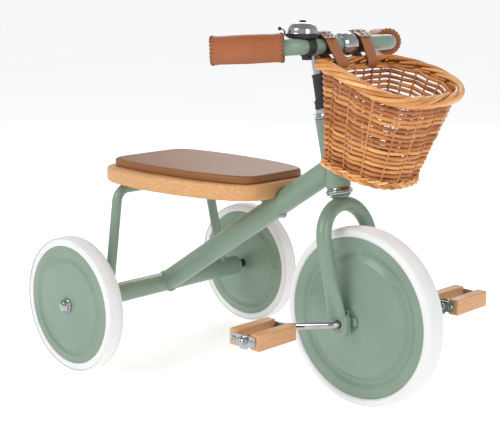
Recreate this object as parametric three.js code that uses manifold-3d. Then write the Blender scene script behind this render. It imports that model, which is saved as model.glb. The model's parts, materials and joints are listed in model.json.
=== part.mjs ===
// Children's tricycle. Millimetres, +X forward, +Y to the rider's left, +Z up.
// Every length below is measured from the rear axle; the last lines move the origin
// to the middle of the footprint, on the ground.
import * as THREE from "three";
import Module from "manifold-3d";

const wasm = await Module();
wasm.setup();

// ---- driving dimensions ----
const GAP = 0.3;                       // air between neighbouring pieces
const REAR = { r: 121.9, half: 16, y: 222, disc: 105.9, segs: 28 };
const FRONT = { r: 150, half: 22, x: 479.4, disc: 133.5, segs: 36 };
const AXLE_R = 6;
const BEAM = { r: 18.2, half: 186 };
const TUBE = { r: 19.7, z0: 121.9, slope: 0.646 };          // main tube rises by slope x
const HEAD = { r: 20.5, bore: 15, low: [424, 357.1], tilt: 13.42, length: 112.9 };
const HOOP = { r: 9, topHalf: 112, footHalf: 146, x: -6 };
const BOARD = { z0: 324, z1: 352, rear: -69, front: 299, wide: [123, -13.3, -32] };
const PAD = { z0: 352.3, z1: 365, rear: -59, front: 290, wide: [106, -7.6, -24] };
const FORK = { r: 12.5, half: 57, arch: 275, foot: 167 };   // arch and foot are heights
const CRANK = { r: 5.5, back: 70.5, drop: 9.3, start: 72, end: 212 };
const PEDAL = { half: 32, block: 18, height: 24, y0: 119, length: 86 };
const BAR = { r: 12.5, x: 432, z: 587.6, corner: 117.2 };
const GRIP = { r: 21.5, inner: [418.7, 128.8, 586.8], outer: [335.2, 201.6, 581.8] };
const BELL = { y: -91, back: 9 };                        // back is its offset behind the bar
const STRAPS = { right: { top: -53, low: -39 }, left: { top: 33, low: 37 } };
const STRAP = { width: 25, thick: 2.4 };
const RIM = { r: 9.6, x: 448.5, reach: 158, half: 85.2, flare: 0.62, z: 560.6, fall: 17.9, sag: 32.9 };
const BASE = { x: 448, reach: 110, half: 76, flare: 0.06, z: 408.5, fall: 31 };
const CENTRE_X = (FRONT.x + FRONT.r - REAR.r) / 2;

const GREEN = [0x8ba592, 0.45, 0.2];
const WHITE = [0xeceae6, 0.75, 0];
const CHROME = [0xd8dadc, 0.12, 1];
const BLACK = [0x1b1b1c, 0.5, 0];
const BEECH = [0xe2ad70, 0.55, 0];
const HIDE = [0xa3643a, 0.6, 0];
const CANE = [0xd39446, 0.6, 0];

const V = (x, y, z) => new THREE.Vector3(x, y, z);
const group = new THREE.Group();

// ---- solids from rings of points ----
const volume = (p, t) => {
  let v = 0;
  for (let i = 0; i < t.length; i += 3) v += p[t[i]].dot(p[t[i + 1]].clone().cross(p[t[i + 2]]));
  return v;
};

function body(points, tris) {
  if (volume(points, tris) < 0) for (let i = 0; i < tris.length; i += 3) tris.splice(i, 2, tris[i + 1], tris[i]);
  const g = new THREE.BufferGeometry();
  g.setAttribute("position", new THREE.Float32BufferAttribute(points.flatMap((p) => p.toArray()), 3));
  g.setIndex(tris);
  return g;
}

// skins equal rings in order; a one-point ring is a tip, and loop joins the last ring to the first
function skin(rings, loop = false) {
  const points = rings.flat();
  const start = [];
  rings.reduce((n, r) => (start.push(n), n + r.length), 0);
  const tris = [];
  for (let i = 0; i < rings.length - (loop ? 0 : 1); i++) {
    const k = (i + 1) % rings.length;
    const [a, b] = [rings[i].length, rings[k].length];
    for (let j = 0; j < Math.max(a, b); j++) {
      const [j2, s, e] = [j + 1, start[i], start[k]];
      if (a > 1) tris.push(s + (j % a), s + (j2 % a), e + (j2 % b));
      if (b > 1) tris.push(s + (j % a), e + (j2 % b), e + (j % b));
    }
  }
  return body(points, tris);
}

const middle = (ring) => ring.reduce((s, p) => s.add(p), V(0, 0, 0)).divideScalar(ring.length);
const capped = (rings) => skin([[middle(rings[0])], ...rings, [middle(rings.at(-1))]]);

// turns [radius, distance] pairs about an axis; a profile off the axis closes on itself
function turned(profile, from, dir, segs = 32) {
  const n = dir.clone().normalize();
  const u = (Math.abs(n.z) > 0.9 ? V(1, 0, 0) : V(0, 0, 1)).cross(n).normalize();
  const w = n.clone().cross(u);
  const rings = profile.map(([r, h]) => {
    const c = from.clone().addScaledVector(n, h);
    if (r === 0) return [c];
    return Array.from({ length: segs }, (_, i) => {
      const a = (i / segs) * 2 * Math.PI;
      return c.clone().addScaledVector(u, r * Math.cos(a)).addScaledVector(w, r * Math.sin(a));
    });
  });
  return skin(rings, profile[0][0] > 0);
}

const rod = (a, b, r, segs = 20) => {
  const d = b.clone().sub(a);
  const l = d.length();
  return turned([[0, 0], [r, 0], [r, l], [0, l]], a, d, segs);
};
const sleeve = (a, b, inner, outer, segs = 20) => {
  const d = b.clone().sub(a);
  const l = d.length();
  return turned([[inner, 0], [outer, 0], [outer, l], [inner, l]], a, d, segs);
};

// rounds the corners of a path of points
function rounded(points, radius, steps = 6) {
  const out = [points[0]];
  for (let i = 1; i < points.length - 1; i++) {
    const p = points[i];
    const a = points[i - 1].clone().sub(p).normalize();
    const b = points[i + 1].clone().sub(p).normalize();
    const half = Math.acos(a.dot(b)) / 2;
    const reach = radius / Math.tan(half);
    const centre = a.clone().add(b).normalize().multiplyScalar(radius / Math.sin(half)).add(p);
    const from = p.clone().addScaledVector(a, reach).sub(centre);
    const to = p.clone().addScaledVector(b, reach).sub(centre);
    const span = from.angleTo(to);
    for (let k = 0; k <= steps; k++) {
      const s = k / steps;
      const q = from.clone().multiplyScalar(Math.sin((1 - s) * span)).addScaledVector(to, Math.sin(s * span));
      out.push(q.divideScalar(Math.sin(span)).add(centre));
    }
  }
  return [...out, points.at(-1)];
}

// rings along a path; size(k, n) gives the two half widths, side is the first one's direction
function swept(path, size, sides, side) {
  const n = path.length;
  return path.map((p, k) => {
    const t = path[Math.min(k + 1, n - 1)].clone().sub(path[Math.max(k - 1, 0)]).normalize();
    const u = side.clone().addScaledVector(t, -side.dot(t)).normalize();
    const w = t.clone().cross(u);
    const [a, b] = size(k, n);
    return Array.from({ length: sides }, (_, i) => {
      const s = ((i + 0.5) / sides) * 2 * Math.PI;
      return p.clone().addScaledVector(u, a * Math.cos(s)).addScaledVector(w, b * Math.sin(s));
    });
  });
}
const pipe = (path, r, sides, side) => capped(swept(path, () => [r, r], sides, side));

// block with bevelled edges, turned about Y through its middle when tilt is given
function block(cx, cy, cz, lx, ly, lz, bevel = 1, tilt = 0) {
  const ring = (y, b) => {
    const [a, c] = [lx / 2 - b, lz / 2 - b];
    const e = bevel;
    const pts = [[a - e, c], [a, c - e], [a, e - c], [a - e, -c], [e - a, -c], [-a, e - c], [-a, c - e], [e - a, c]];
    return pts.map(([x, z]) => V(x, y, z).applyAxisAngle(V(0, 1, 0), tilt).add(V(cx, cy, cz)));
  };
  const h = ly / 2;
  return capped([ring(-h, bevel), ring(bevel - h, 0), ring(h - bevel, 0), ring(h, bevel)]);
}

// ---- cutting and joining ----
const toSolid = (g) => new wasm.Manifold(new wasm.Mesh({
  numProp: 3,
  vertProperties: new Float32Array(g.attributes.position.array),
  triVerts: new Uint32Array(g.index.array),
}));
function fromSolid(s) {
  const m = s.getMesh();
  const g = new THREE.BufferGeometry();
  g.setAttribute("position", new THREE.Float32BufferAttribute(m.vertProperties.slice(), 3));
  g.setIndex([...m.triVerts]);
  return g;
}
const cut = (g, ...tools) => fromSolid(tools.reduce((s, t) => s.subtract(toSolid(t)), toSolid(g)));
const join = (g, ...more) => fromSolid(more.reduce((s, t) => s.add(toSolid(t)), toSolid(g)));

function add(name, geometry, [color, roughness, metalness]) {
  const mesh = new THREE.Mesh(geometry, new THREE.MeshStandardMaterial({ color, roughness, metalness }));
  mesh.name = name;
  group.add(mesh);
}
const SIDES = [["right", -1], ["left", 1]];

// ---- steering axis: a leaning line through the head tube ----
const TILT = (HEAD.tilt * Math.PI) / 180;
const UP = V(-Math.sin(TILT), 0, Math.cos(TILT));
const onAxis = (z) => V(HEAD.low[0] - (z - HEAD.low[1]) * Math.tan(TILT), 0, z);
const HEAD_LOW = V(HEAD.low[0], 0, HEAD.low[1]);
const HEAD_TOP = HEAD_LOW.clone().addScaledVector(UP, HEAD.length);

// ---- rear axle, beam and frame tubes ----
function frame() {
  const tubeDir = V(1, 0, TUBE.slope).normalize();
  const tubeStart = V(0, 0, TUBE.z0);
  const at = (x) => V(x, 0, TUBE.z0 + TUBE.slope * x);
  const beamTool = rod(V(0, -200, REAR.r), V(0, 200, REAR.r), BEAM.r + GAP, 32);
  const rearTool = block(-30, 0, REAR.r, 60, 60, 80, 1);
  const headTool = rod(HEAD_LOW.clone().addScaledVector(UP, -30), HEAD_TOP, HEAD.r + GAP, 32);
  const mainRod = rod(at(0), at(416), TUBE.r, 28);
  const saddle = block(266, 0, 316, 22, 18, 2 * (BOARD.z0 - GAP - 316), 1);
  add("main_tube", cut(join(mainRod, saddle), beamTool, headTool, rearTool), GREEN);
  const y = V(0, 1, 0);
  const beam = [[AXLE_R + GAP, 0], [BEAM.r - 1, 0], [BEAM.r, 1], [BEAM.r, 2 * BEAM.half - 1],
    [BEAM.r - 1, 2 * BEAM.half], [AXLE_R + GAP, 2 * BEAM.half]];
  add("axle_beam", turned(beam, V(0, -BEAM.half, REAR.r), y, 32), GREEN);
  add("axle_rod", rod(V(0, -REAR.y - 23, REAR.r), V(0, REAR.y + 23, REAR.r), AXLE_R, 20), CHROME);
  const top = BOARD.z0 - HOOP.r - GAP;
  const foot = (s) => V(2, s * HOOP.footHalf, REAR.r);
  const crown = (s) => V(HOOP.x, s * HOOP.topHalf, top);
  const path = rounded([foot(-1), crown(-1), crown(1), foot(1)], 26, 5);
  add("seat_hoop", cut(pipe(path, HOOP.r, 12, V(1, 0, 0)), beamTool), GREEN);
  const tubeTool = rod(at(150), at(400), TUBE.r + GAP, 28);
  seat(tubeTool);
  const down = V(TUBE.slope, 0, -1).normalize();
  const under = at(291).addScaledVector(down, TUBE.r + GAP);
  add("seat_bolt", turned([[0, 0], [6, 0], [6, 1.6], [4.6, 4.2], [0, 5]], under, down, 16), CHROME);
  for (const [side, s] of SIDES) {
    const a = V(0, s * (BEAM.half + GAP), REAR.r);
    add(`spacer_${side}`, sleeve(a, V(0, s * 204.8, REAR.r), AXLE_R + GAP, 8.5), BLACK);
    const nut = [[0, 0], [11.5, 0], [11.5, 2.5], [9.8, 2.8], [9.6, 6], [7.5, 9.4], [4, 11.2], [0, 11.8]];
    const bore = rod(V(0, s * (REAR.y + 10), REAR.r), V(0, s * (REAR.y + 23.3), REAR.r), AXLE_R + GAP, 16);
    const cap = turned(nut, V(0, s * (REAR.y + 17.4), REAR.r), V(0, s, 0), 18);
    add(`hub_nut_${side}`, cut(cap, bore), CHROME);
  }
}

// ---- seat: wooden board and upholstered pad share one outline family ----
// half width along the seat, wide behind the middle and narrow in front, with round corners
function seatRing({ rear, front, wide: [w0, w1, w2] }, inset, z, n = 40) {
  const [cx, half] = [(rear + front) / 2, (front - rear) / 2 - inset];
  return Array.from({ length: n }, (_, i) => {
    const a = (i / n) * 2 * Math.PI;
    const [c, s] = [Math.cos(a), Math.sin(a)];
    const u = Math.sign(c) * Math.abs(c) ** 0.17;
    const wide = w0 + w1 * u + w2 * u * u - inset;
    return V(cx + half * u, Math.sign(s) * Math.abs(s) ** 0.22 * wide, z);
  });
}

function seat(tubeTool) {
  const edge = (o, e) => [[e, o.z0], [0, o.z0 + e], [0, o.z1 - e], [e, o.z1]].map(([d, z]) => seatRing(o, d, z));
  add("seat_board", cut(capped(edge(BOARD, 5)), tubeTool), BEECH);
  add("seat_pad", capped(edge(PAD, 4.5)), HIDE);
}

// ---- wheels: white tyre round two pressed discs ----
function wheel(name, at, { r, half, disc, segs }, face, profile) {
  const y = V(0, 1, 0);
  const step = face - 2.8;
  const side = [[disc + 0.4, face + 0.5], [disc + 4, half - 0.3], [r - 4, half * 0.8], [r, 0]];
  const mirror = side.slice(0, -1).reverse().map(([a, b]) => [a, -b]);
  const bead = [[disc + 0.4, -step], [disc - 7, -step], [disc - 7, step], [disc + 0.4, step]];
  add(`${name}_tyre`, turned([...side, ...mirror, ...bead], at, y, segs), WHITE);
  const shell = profile.slice(0, -1).reverse().map(([a, b]) => [a, b - 2.2]);
  const bore = profile.at(-1)[0];
  const back = [[bore, 0.2], [12, 0.2], ...shell];
  for (const [s, dir] of SIDES) {
    add(`${name}_disc_${s}`, turned([...profile, ...back], at, V(0, dir, 0), segs), GREEN);
  }
}

function rearWheels() {
  for (const [side, s] of SIDES) {
    const at = V(0, s * REAR.y, REAR.r);
    const d = REAR.disc;
    const profile = [[d, 13.6], [89, 14], [82, 12.6], [22, 16.4], [AXLE_R + 0.08, 16.9]];
    wheel(`rear_wheel_${side}`, at, REAR, 13.6, profile);
  }
}

// flange with four round ears, as a ring of points about the wheel's axis
const flange = (y) => Array.from({ length: 48 }, (_, i) => {
  const a = ((i / 48) * 2 + 0.09) * Math.PI;
  const r = 17 + 5.5 * Math.cos(4 * a - 1.13) - 1.6 * Math.cos(8 * a - 2.26);
  return V(FRONT.x + r * Math.cos(a), y, FRONT.r + r * Math.sin(a));
});

function frontWheel() {
  const at = V(FRONT.x, 0, FRONT.r);
  const profile = [[FRONT.disc, 17.4], [113, 17.2], [103, 18.6], [34, 36], [24, 39.6], [CRANK.r + GAP, 40]];
  wheel("front_wheel", at, FRONT, 17.4, profile);
  const spindle = V(FRONT.x - CRANK.back, 0, FRONT.r - CRANK.drop);
  for (const [side, s] of SIDES) {
    const bore = rod(V(FRONT.x, s * 39, FRONT.r), V(FRONT.x, s * 47, FRONT.r), CRANK.r + GAP, 20);
    add(`hub_flange_${side}`, cut(capped([flange(s * 40.4), flange(s * 44)]), bore), GREEN);
    const pin = spindle.clone();
    if (s > 0) pin.set(2 * FRONT.x - spindle.x, 0, 2 * FRONT.r - spindle.z);
    const along = (p, y) => V(p.x, s * y, p.z);
    const path = rounded([along(at, GAP), along(at, CRANK.start), along(pin, 103), along(pin, CRANK.end)], 13, 4);
    const nut = turned([[0, -2], [6.8, -2], [6.8, 2], [5, 4.6], [0, 5.6]], path.at(-1), V(0, s, 0), 16);
    add(`crank_${side}`, join(pipe(path, CRANK.r, 12, V(0, 0, 1)), nut), CHROME);
    pedal(side, s, pin);
  }
}

function pedal(side, s, pin) {
  const y = PEDAL.y0 + PEDAL.length / 2;
  const off = PEDAL.half - PEDAL.block / 2;
  add(`pedal_${side}_block_front`, block(pin.x + off, s * y, pin.z, PEDAL.block, PEDAL.length, PEDAL.height, 2), BEECH);
  add(`pedal_${side}_block_rear`, block(pin.x - off, s * y, pin.z, PEDAL.block, PEDAL.length, PEDAL.height, 2), BEECH);
  const bore = rod(V(pin.x, s * 100, pin.z), V(pin.x, s * 230, pin.z), CRANK.r + 0.08, 20);
  const far = PEDAL.y0 + PEDAL.length;
  const plates = [["inner", PEDAL.y0 - GAP - 1], ["outer", far + GAP + 1]];
  for (const [end, py] of plates) {
    add(`pedal_${side}_plate_${end}`, cut(block(pin.x, s * py, pin.z, 54, 2, 18, 0.6), bore), CHROME);
  }
}

// ---- fork, headset and stem ----
function steering() {
  const leg = (s, z) => onAxis(z).add(V(0, s * FORK.half, 0));
  const centre = onAxis(FORK.arch);
  const arc = Array.from({ length: 11 }, (_, i) => {
    const a = (i / 10) * Math.PI;
    return centre.clone().add(V(0, -FORK.half * Math.cos(a), 0)).addScaledVector(UP, FORK.half * Math.sin(a));
  });
  const legs = (s) => [FORK.foot, 180, 200, 225].map((z) => leg(s, z));
  const path = [...legs(-1), ...arc, ...legs(1).reverse()];
  const size = (k, n) => {
    const e = Math.min(k, n - 1 - k);
    return [[18.5, 7], [17.4, 8], [14.4, 10.5], [12.6, 12.3]][e] ?? [FORK.r, FORK.r];
  };
  const arch = capped(swept(path, size, 12, V(Math.cos(TILT), 0, Math.sin(TILT))));
  const neck = rod(onAxis(333), onAxis(344.2), 16, 28);
  const steerer = rod(onAxis(336), HEAD_TOP.clone().addScaledVector(UP, 3), 12.7, 24);
  add("fork", join(arch, neck, steerer), GREEN);
  headset();
  for (const [side, s] of SIDES) {
    const end = block(FRONT.x - 1, s * 54.6, 149, 30, 14.8, 32, 2);
    add(`fork_end_${side}`, cut(end, rod(V(FRONT.x, s * 40, FRONT.r), V(FRONT.x, s * 70, FRONT.r), CRANK.r + 0.08, 24)), GREEN);
  }
}

function headset() {
  const head = [[HEAD.bore, 0], [HEAD.r, 0], [HEAD.r, HEAD.length], [HEAD.bore, HEAD.length]];
  add("head_tube", turned(head, HEAD_LOW, UP, 32), GREEN);
  const under = HEAD_LOW.clone().addScaledVector(UP, -GAP);
  const down = UP.clone().negate();
  add("lower_cup", turned([[13.2, 0], [19, 0], [21, 5.2], [22.5, 5.2], [22.5, 7.4], [13.2, 7.4]], under, down, 24), CHROME);
  add("lower_race", turned([[13.2, 7.8], [20.5, 7.8], [20.5, 10.6], [18, 12.2], [13.2, 12.2]], under, down, 24), CHROME);
  const top = HEAD_TOP.clone().addScaledVector(UP, GAP);
  add("upper_cup", turned([[13.2, 0], [19.5, 0], [20.5, 3.5], [18, 8.4], [13.2, 8.4]], top, UP, 24), CHROME);
  const tab = block(0, 0, 0, 14, 12, 2, 0.4, -TILT).translate(...top.clone().addScaledVector(UP, 9.8).add(V(-20, 0, -4.7)).toArray());
  const washer = sleeve(top.clone().addScaledVector(UP, 8.8), top.clone().addScaledVector(UP, 10.8), 13.2, 18.5, 20);
  const nut = sleeve(top.clone().addScaledVector(UP, 10.4), top.clone().addScaledVector(UP, 17), 13.2, 17, 20);
  add("locknut", join(washer, tab, nut), CHROME);
  const boot = [[11.4, 17.4], [16.5, 17.4], [16.5, 31], [14, 31.6], [13.6, 73], [11.4, 73]];
  add("stem_boot", turned(boot, top, UP, 24), BLACK);
  const knee = onAxis(586);
  const path = rounded([onAxis(488), knee, V(BAR.x, 0, BAR.z)], 16, 6);
  const clampTool = rod(V(BAR.x, -30, BAR.z), V(BAR.x, 30, BAR.z), 18.5 + GAP, 28);
  add("stem", cut(pipe(path, 11, 20, V(0, 1, 0)), clampTool), CHROME);
  const clamp = [[BAR.r + GAP, -15], [14.5, -15], [17, -11.5], [18.5, -5], [18.5, 5], [17, 11.5], [14.5, 15], [BAR.r + GAP, 15]];
  add("stem_clamp", turned(clamp, V(BAR.x, 0, BAR.z), V(0, 1, 0), 24), CHROME);
}

// ---- handlebar, grips and bell ----
function handlebar() {
  const at = ([x, y, z], s) => V(x, s * y, z);
  const end = (s) => at(GRIP.outer, s).lerp(at(GRIP.inner, s), 0.06);
  const path = rounded([end(-1), V(BAR.x, -BAR.corner, BAR.z), V(BAR.x, BAR.corner, BAR.z), end(1)], 34, 5);
  add("handlebar", pipe(path, BAR.r, 16, V(0, 0, 1)), GREEN);
  for (const [side, s] of SIDES) {
    const inner = at(GRIP.inner, s);
    const d = at(GRIP.outer, s).sub(inner);
    const l = d.length();
    const r = GRIP.r;
    const hole = BAR.r + GAP;
    const cup = [[0, l], [r - 4, l], [r - 0.8, l - 4], [r, l / 2], [r - 0.8, 3], [r - 4, 0],
      [hole, 0], [hole, l * 0.95], [0, l * 0.95]];
    add(`grip_${side}`, turned(cup, inner, d, 20), HIDE);
    const y = { right: -47, left: 32 }[side];
    add(`bar_sleeve_${side}`, sleeve(V(BAR.x, y - 13, BAR.z), V(BAR.x, y + 13, BAR.z), BAR.r + GAP, 14.4, 28), BLACK);
  }
}

function bell() {
  const bar = (y) => V(BAR.x, y, BAR.z);
  const at = (h) => V(BAR.x - BELL.back, BELL.y, BAR.z + BAR.r + h);
  const ring = turned([[BAR.r + GAP, -7], [15.2, -7], [15.2, 7], [BAR.r + GAP, 7]], bar(BELL.y), V(0, 1, 0), 20);
  const lug = block(BAR.x, BELL.y, BAR.z - 15.5, 16, 12, 8, 1);
  const neck = block(BAR.x - 7, BELL.y, BAR.z + 13, 14, 12, 8, 1);
  const plate = rod(at(4), at(6.4), 19, 24);
  add("bell_clamp", cut(join(ring, lug, neck, plate), rod(bar(BELL.y - 20), bar(BELL.y + 20), BAR.r + GAP, 20)), BLACK);
  const shell = [[2.7, 15.6], [10, 14.8], [18, 10], [22, 0], [20.6, 0], [16.6, 9], [9.2, 13.3], [2.7, 14.2]];
  add("bell_dome", turned(shell, at(7), V(0, 0, 1), 24), CHROME);
  const screw = [[0, 0], [2.4, 0], [2.4, 16.1], [5, 16.1], [4.6, 17.8], [0, 18.4]];
  add("bell_screw", turned(screw, at(6.7), V(0, 0, 1), 16), BLACK);
  const dir = V(-0.6, -0.8, 0);
  const out = (d, h) => at(h).addScaledVector(dir, d);
  const reach = [out(19.6, 5.2), out(24, 5.2), out(31, 8)];
  add("bell_lever", capped(swept(reach, (k) => [4.5 + k * 0.4, 1.5], 10, V(0.8, -0.6, 0))), BLACK);
}

// ---- basket and its straps ----
// a strap's sideways shift per millimetre of height above the rim
const lean = ({ top, low }) => (top - low) / (BAR.z - RIM.z + 16);

// closed plan curve: boxy back, rounded front that flares out; u runs 0 at the back to 1 in front
function basketRing(o, n, inset, lift, sag, count = 40) {
  const back = 9;
  return Array.from({ length: count }, (_, i) => {
    const a = ((i + 0.5) / count) * 2 * Math.PI;
    const [c, s] = [Math.cos(a), Math.sin(a)];
    const p = c > 0 ? 2 / n : 2 / 5;
    const u = Math.abs(c) ** p;
    const reach = c > 0 ? (o.reach - back - inset) * u : (inset - back) * u;
    const flare = c > 0 ? 1 + o.flare * u : 1;
    const y = Math.sign(s) * Math.abs(s) ** p * (o.half - inset) * flare;
    const f = c > 0 ? u : 0;
    return V(o.x + back + reach, y, o.z - o.fall * f - sag * f * f + lift);
  });
}

function basket() {
  const top = (inset, lift) => basketRing(RIM, 3, inset, lift, RIM.sag);
  const low = (inset, lift) => basketRing(BASE, 2.6, inset, lift, 0);
  const between = (a, b, t) => a.map((p, i) => p.clone().lerp(b[i], t));
  const [o1, o0] = [top(3, -RIM.r - GAP), low(0, 4)];
  const [i1, i0] = [top(9, -RIM.r - GAP), low(7, 10)];
  const wall = skin([[middle(o0)], o0, between(o0, o1, 0.5), o1, i1, between(i0, i1, 0.5), i0, [middle(i0)]]);
  const slots = Object.values(STRAPS).map((strap) =>
    block(RIM.x, strap.low - 12 * lean(strap), RIM.z - RIM.r - 2.6, 32, STRAP.width + 4, 6.4, 0.5));
  add("basket_body", cut(wall, ...slots), CANE);
  const centre = top(0, 0);
  const foot = low(1, -1.4);
  const loop = (ring, r, sides) => ring.map((p, k) => {
    const n = ring.length;
    const t = ring[(k + 1) % n].clone().sub(ring[(k + n - 1) % n]).normalize();
    const u = V(0, 0, 1).addScaledVector(t, -t.z).normalize();
    const w = t.clone().cross(u);
    return Array.from({ length: sides }, (_, i) => {
      const a = (i / sides) * 2 * Math.PI;
      return p.clone().addScaledVector(u, r * Math.cos(a)).addScaledVector(w, r * Math.sin(a));
    });
  });
  add("basket_rim", skin(loop(centre, RIM.r - 0.4, 8), true), CANE);
  add("basket_foot", skin(loop(foot, 4.6, 6), true), CANE);
}

// belt round the bar and the rim: a hull of two circles, in the XZ plane
function beltLoop(y, extra, slant) {
  const [bar, rim] = [V(BAR.x, 0, BAR.z), V(RIM.x, 0, RIM.z)];
  const [rb, rr] = [14.7 + extra, RIM.r + GAP + extra];
  const d = rim.clone().sub(bar);
  const base = Math.atan2(d.z, d.x);
  const open = Math.acos((rb - rr) / d.length());
  const arc = (c, r, a0, a1, n) => Array.from({ length: n + 1 }, (_, i) => {
    const a = a0 + ((a1 - a0) * i) / n;
    const z = c.z + r * Math.sin(a);
    return V(c.x + r * Math.cos(a), y + slant * (z - RIM.z), z);
  });
  return [...arc(bar, rb, base + open, base - open + 2 * Math.PI, 12), ...arc(rim, rr, base - open, base + open, 8)];
}

function straps() {
  for (const [side, strap] of Object.entries(STRAPS)) {
    const [low, slant] = [strap.low, lean(strap)];
    const h = STRAP.width / 2;
    const rings = [[low - h, 0], [low + h, 0], [low + h, STRAP.thick], [low - h, STRAP.thick]];
    add(`strap_${side}`, skin(rings.map(([y, e]) => beltLoop(y, e, slant)), true), HIDE);
    const a = 1.15;
    const r = 14.7 + STRAP.thick + 1.9;
    const c = V(BAR.x + r * Math.cos(a), 0, BAR.z + r * Math.sin(a));
    const y = low + slant * (c.z - RIM.z);
    const frameRing = (k, m) => (h0) => [[-1, -1], [1, -1], [1, 1], [-1, 1]].map(([p, q]) =>
      V(0, p * k, 0).addScaledVector(V(-Math.sin(a), 0, Math.cos(a)), q * m)
        .addScaledVector(V(Math.cos(a), 0, Math.sin(a)), h0).add(V(c.x, y, c.z)));
    const [outer, inner] = [frameRing(14, 9), frameRing(11, 6)];
    add(`buckle_${side}`, skin([outer(-1.2), outer(1.2), inner(1.2), inner(-1.2)], true), CHROME);
  }
}

frame();
rearWheels();
frontWheel();
steering();
handlebar();
bell();
basket();
straps();
for (const m of group.children) m.geometry.translate(-CENTRE_X, 0, 0);

export default group;
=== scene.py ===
import json
import math

import bpy
import numpy as np
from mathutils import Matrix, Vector


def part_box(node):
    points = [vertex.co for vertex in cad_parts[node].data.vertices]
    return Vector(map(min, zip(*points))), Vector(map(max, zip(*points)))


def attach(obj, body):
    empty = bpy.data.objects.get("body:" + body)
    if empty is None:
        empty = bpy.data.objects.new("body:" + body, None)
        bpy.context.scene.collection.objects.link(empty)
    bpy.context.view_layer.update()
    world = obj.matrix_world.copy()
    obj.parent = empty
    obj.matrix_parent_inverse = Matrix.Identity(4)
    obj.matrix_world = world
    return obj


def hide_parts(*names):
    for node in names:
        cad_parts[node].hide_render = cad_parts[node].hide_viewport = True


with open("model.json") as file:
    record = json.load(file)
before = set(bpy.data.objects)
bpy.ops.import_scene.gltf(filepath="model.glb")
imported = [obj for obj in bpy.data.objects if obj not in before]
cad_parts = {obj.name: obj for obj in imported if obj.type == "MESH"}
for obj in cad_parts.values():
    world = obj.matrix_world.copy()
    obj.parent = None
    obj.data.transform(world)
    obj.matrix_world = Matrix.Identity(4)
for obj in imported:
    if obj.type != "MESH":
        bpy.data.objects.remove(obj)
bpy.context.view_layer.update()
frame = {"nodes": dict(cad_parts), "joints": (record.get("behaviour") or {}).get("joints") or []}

# ---- Camera ----
# A long lens at chest height, off the tricycle's right front corner.
eye = Vector((1.34288, -1.40722, 0.67986))
gaze = Vector((-0.684, 0.700, -0.204))
camera = bpy.data.objects.new("camera", bpy.data.cameras.new("camera"))
camera.location = eye
camera.rotation_euler = gaze.to_track_quat("-Z", "Y").to_euler()
camera.data.lens = 81.93
camera.data.sensor_width = 36
bpy.context.scene.collection.objects.link(camera)
bpy.context.scene.camera = camera
bpy.context.scene.view_settings.view_transform = "Standard"


# ---- Studio ----
# A pale round floor that runs out of sight, a sky that fades from nearly white at the horizon to grey
# overhead, and three large soft boxes: the key from the right, one ahead and one behind.
def put(tree, kind, sockets=(), **settings):
    """Adds one shader node: settings are its own, sockets maps inputs to values or to other nodes'
    outputs."""
    made = tree.nodes.new("ShaderNode" + kind)
    for key, value in settings.items():
        setattr(made, key, value)
    for key, value in dict(sockets).items():
        if isinstance(value, bpy.types.NodeSocket):
            tree.links.new(value, made.inputs[key])
        else:
            made.inputs[key].default_value = value
    return made


def ramp(tree, factor, stops):
    """A colour ramp over factor, from (position, colour) stops."""
    made = put(tree, "ValToRGB", {"Fac": factor})
    while len(made.color_ramp.elements) < len(stops):
        made.color_ramp.elements.new(0.5)
    for element, (position, colour) in zip(made.color_ramp.elements, stops):
        element.position = position
        element.color = (*colour, 1)
    return made.outputs["Color"]


def plain_material(name):
    """An empty material: its tree, its Principled shader, and its Object coordinates."""
    material = bpy.data.materials.new(name)
    material.use_nodes = True
    shader = material.node_tree.nodes["Principled BSDF"]
    return material, material.node_tree, shader, put(material.node_tree, "TexCoord").outputs["Object"]


def floor_material():
    """Pale matte paint with a faint mottle, lifted a little so that it stays white far away."""
    material, tree, shader, where = plain_material("studio_floor")
    noise = put(tree, "TexNoise", {"Vector": where, "Scale": 1.5})
    pale = ramp(tree, noise.outputs["Fac"], [(0.3, (0.80, 0.80, 0.80)), (0.7, (0.84, 0.84, 0.84))])
    tree.links.new(pale, shader.inputs["Base Color"])
    shader.inputs["Roughness"].default_value = 0.9
    shader.inputs["Emission Color"].default_value = (1, 1, 1, 1)
    shader.inputs["Emission Strength"].default_value = 0.50
    return material


def soft_box(name, place, aim, size, power):
    """A square area lamp turned towards a point."""
    lamp = bpy.data.lights.new(name, "AREA")
    lamp.size = size
    lamp.energy = power
    box = bpy.data.objects.new(name, lamp)
    box.location = place
    box.rotation_euler = (Vector(aim) - Vector(place)).to_track_quat("-Z", "Y").to_euler()
    bpy.context.scene.collection.objects.link(box)


floor_sides = 64
floor_turn = np.linspace(0, 2 * np.pi, floor_sides, endpoint=False)
floor_rim = 90 * np.stack([np.cos(floor_turn), np.sin(floor_turn), 0 * floor_turn], 1)
floor_mesh = bpy.data.meshes.new("floor")
floor_mesh.from_pydata(floor_rim.tolist(), [], [list(range(floor_sides))])
floor = bpy.data.objects.new("floor", floor_mesh)
floor_mesh.materials.append(floor_material())
bpy.context.scene.collection.objects.link(floor)
sky = bpy.data.worlds.new("sky")
sky.use_nodes = True
dome = sky.node_tree
height = put(dome, "SeparateXYZ", {"Vector": put(dome, "TexCoord").outputs["Generated"]}).outputs["Z"]
fade = ramp(dome, height, [(0, (0.78, 0.785, 0.79)), (0.35, (0.60, 0.61, 0.62)), (1, (0.40, 0.41, 0.42))])
dome.links.new(fade, dome.nodes["Background"].inputs["Color"])
bpy.context.scene.world = sky
soft_box("key_box", (-0.6, -2.6, 2.3), (0, 0, 0.3), 1.5, 42)
soft_box("front_box", (2.9, -0.5, 1.9), (0.1, 0, 0.3), 1.3, 26)
soft_box("back_box", (-1.6, 2.2, 2.0), (0, 0, 0.4), 1.6, 26)


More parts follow.
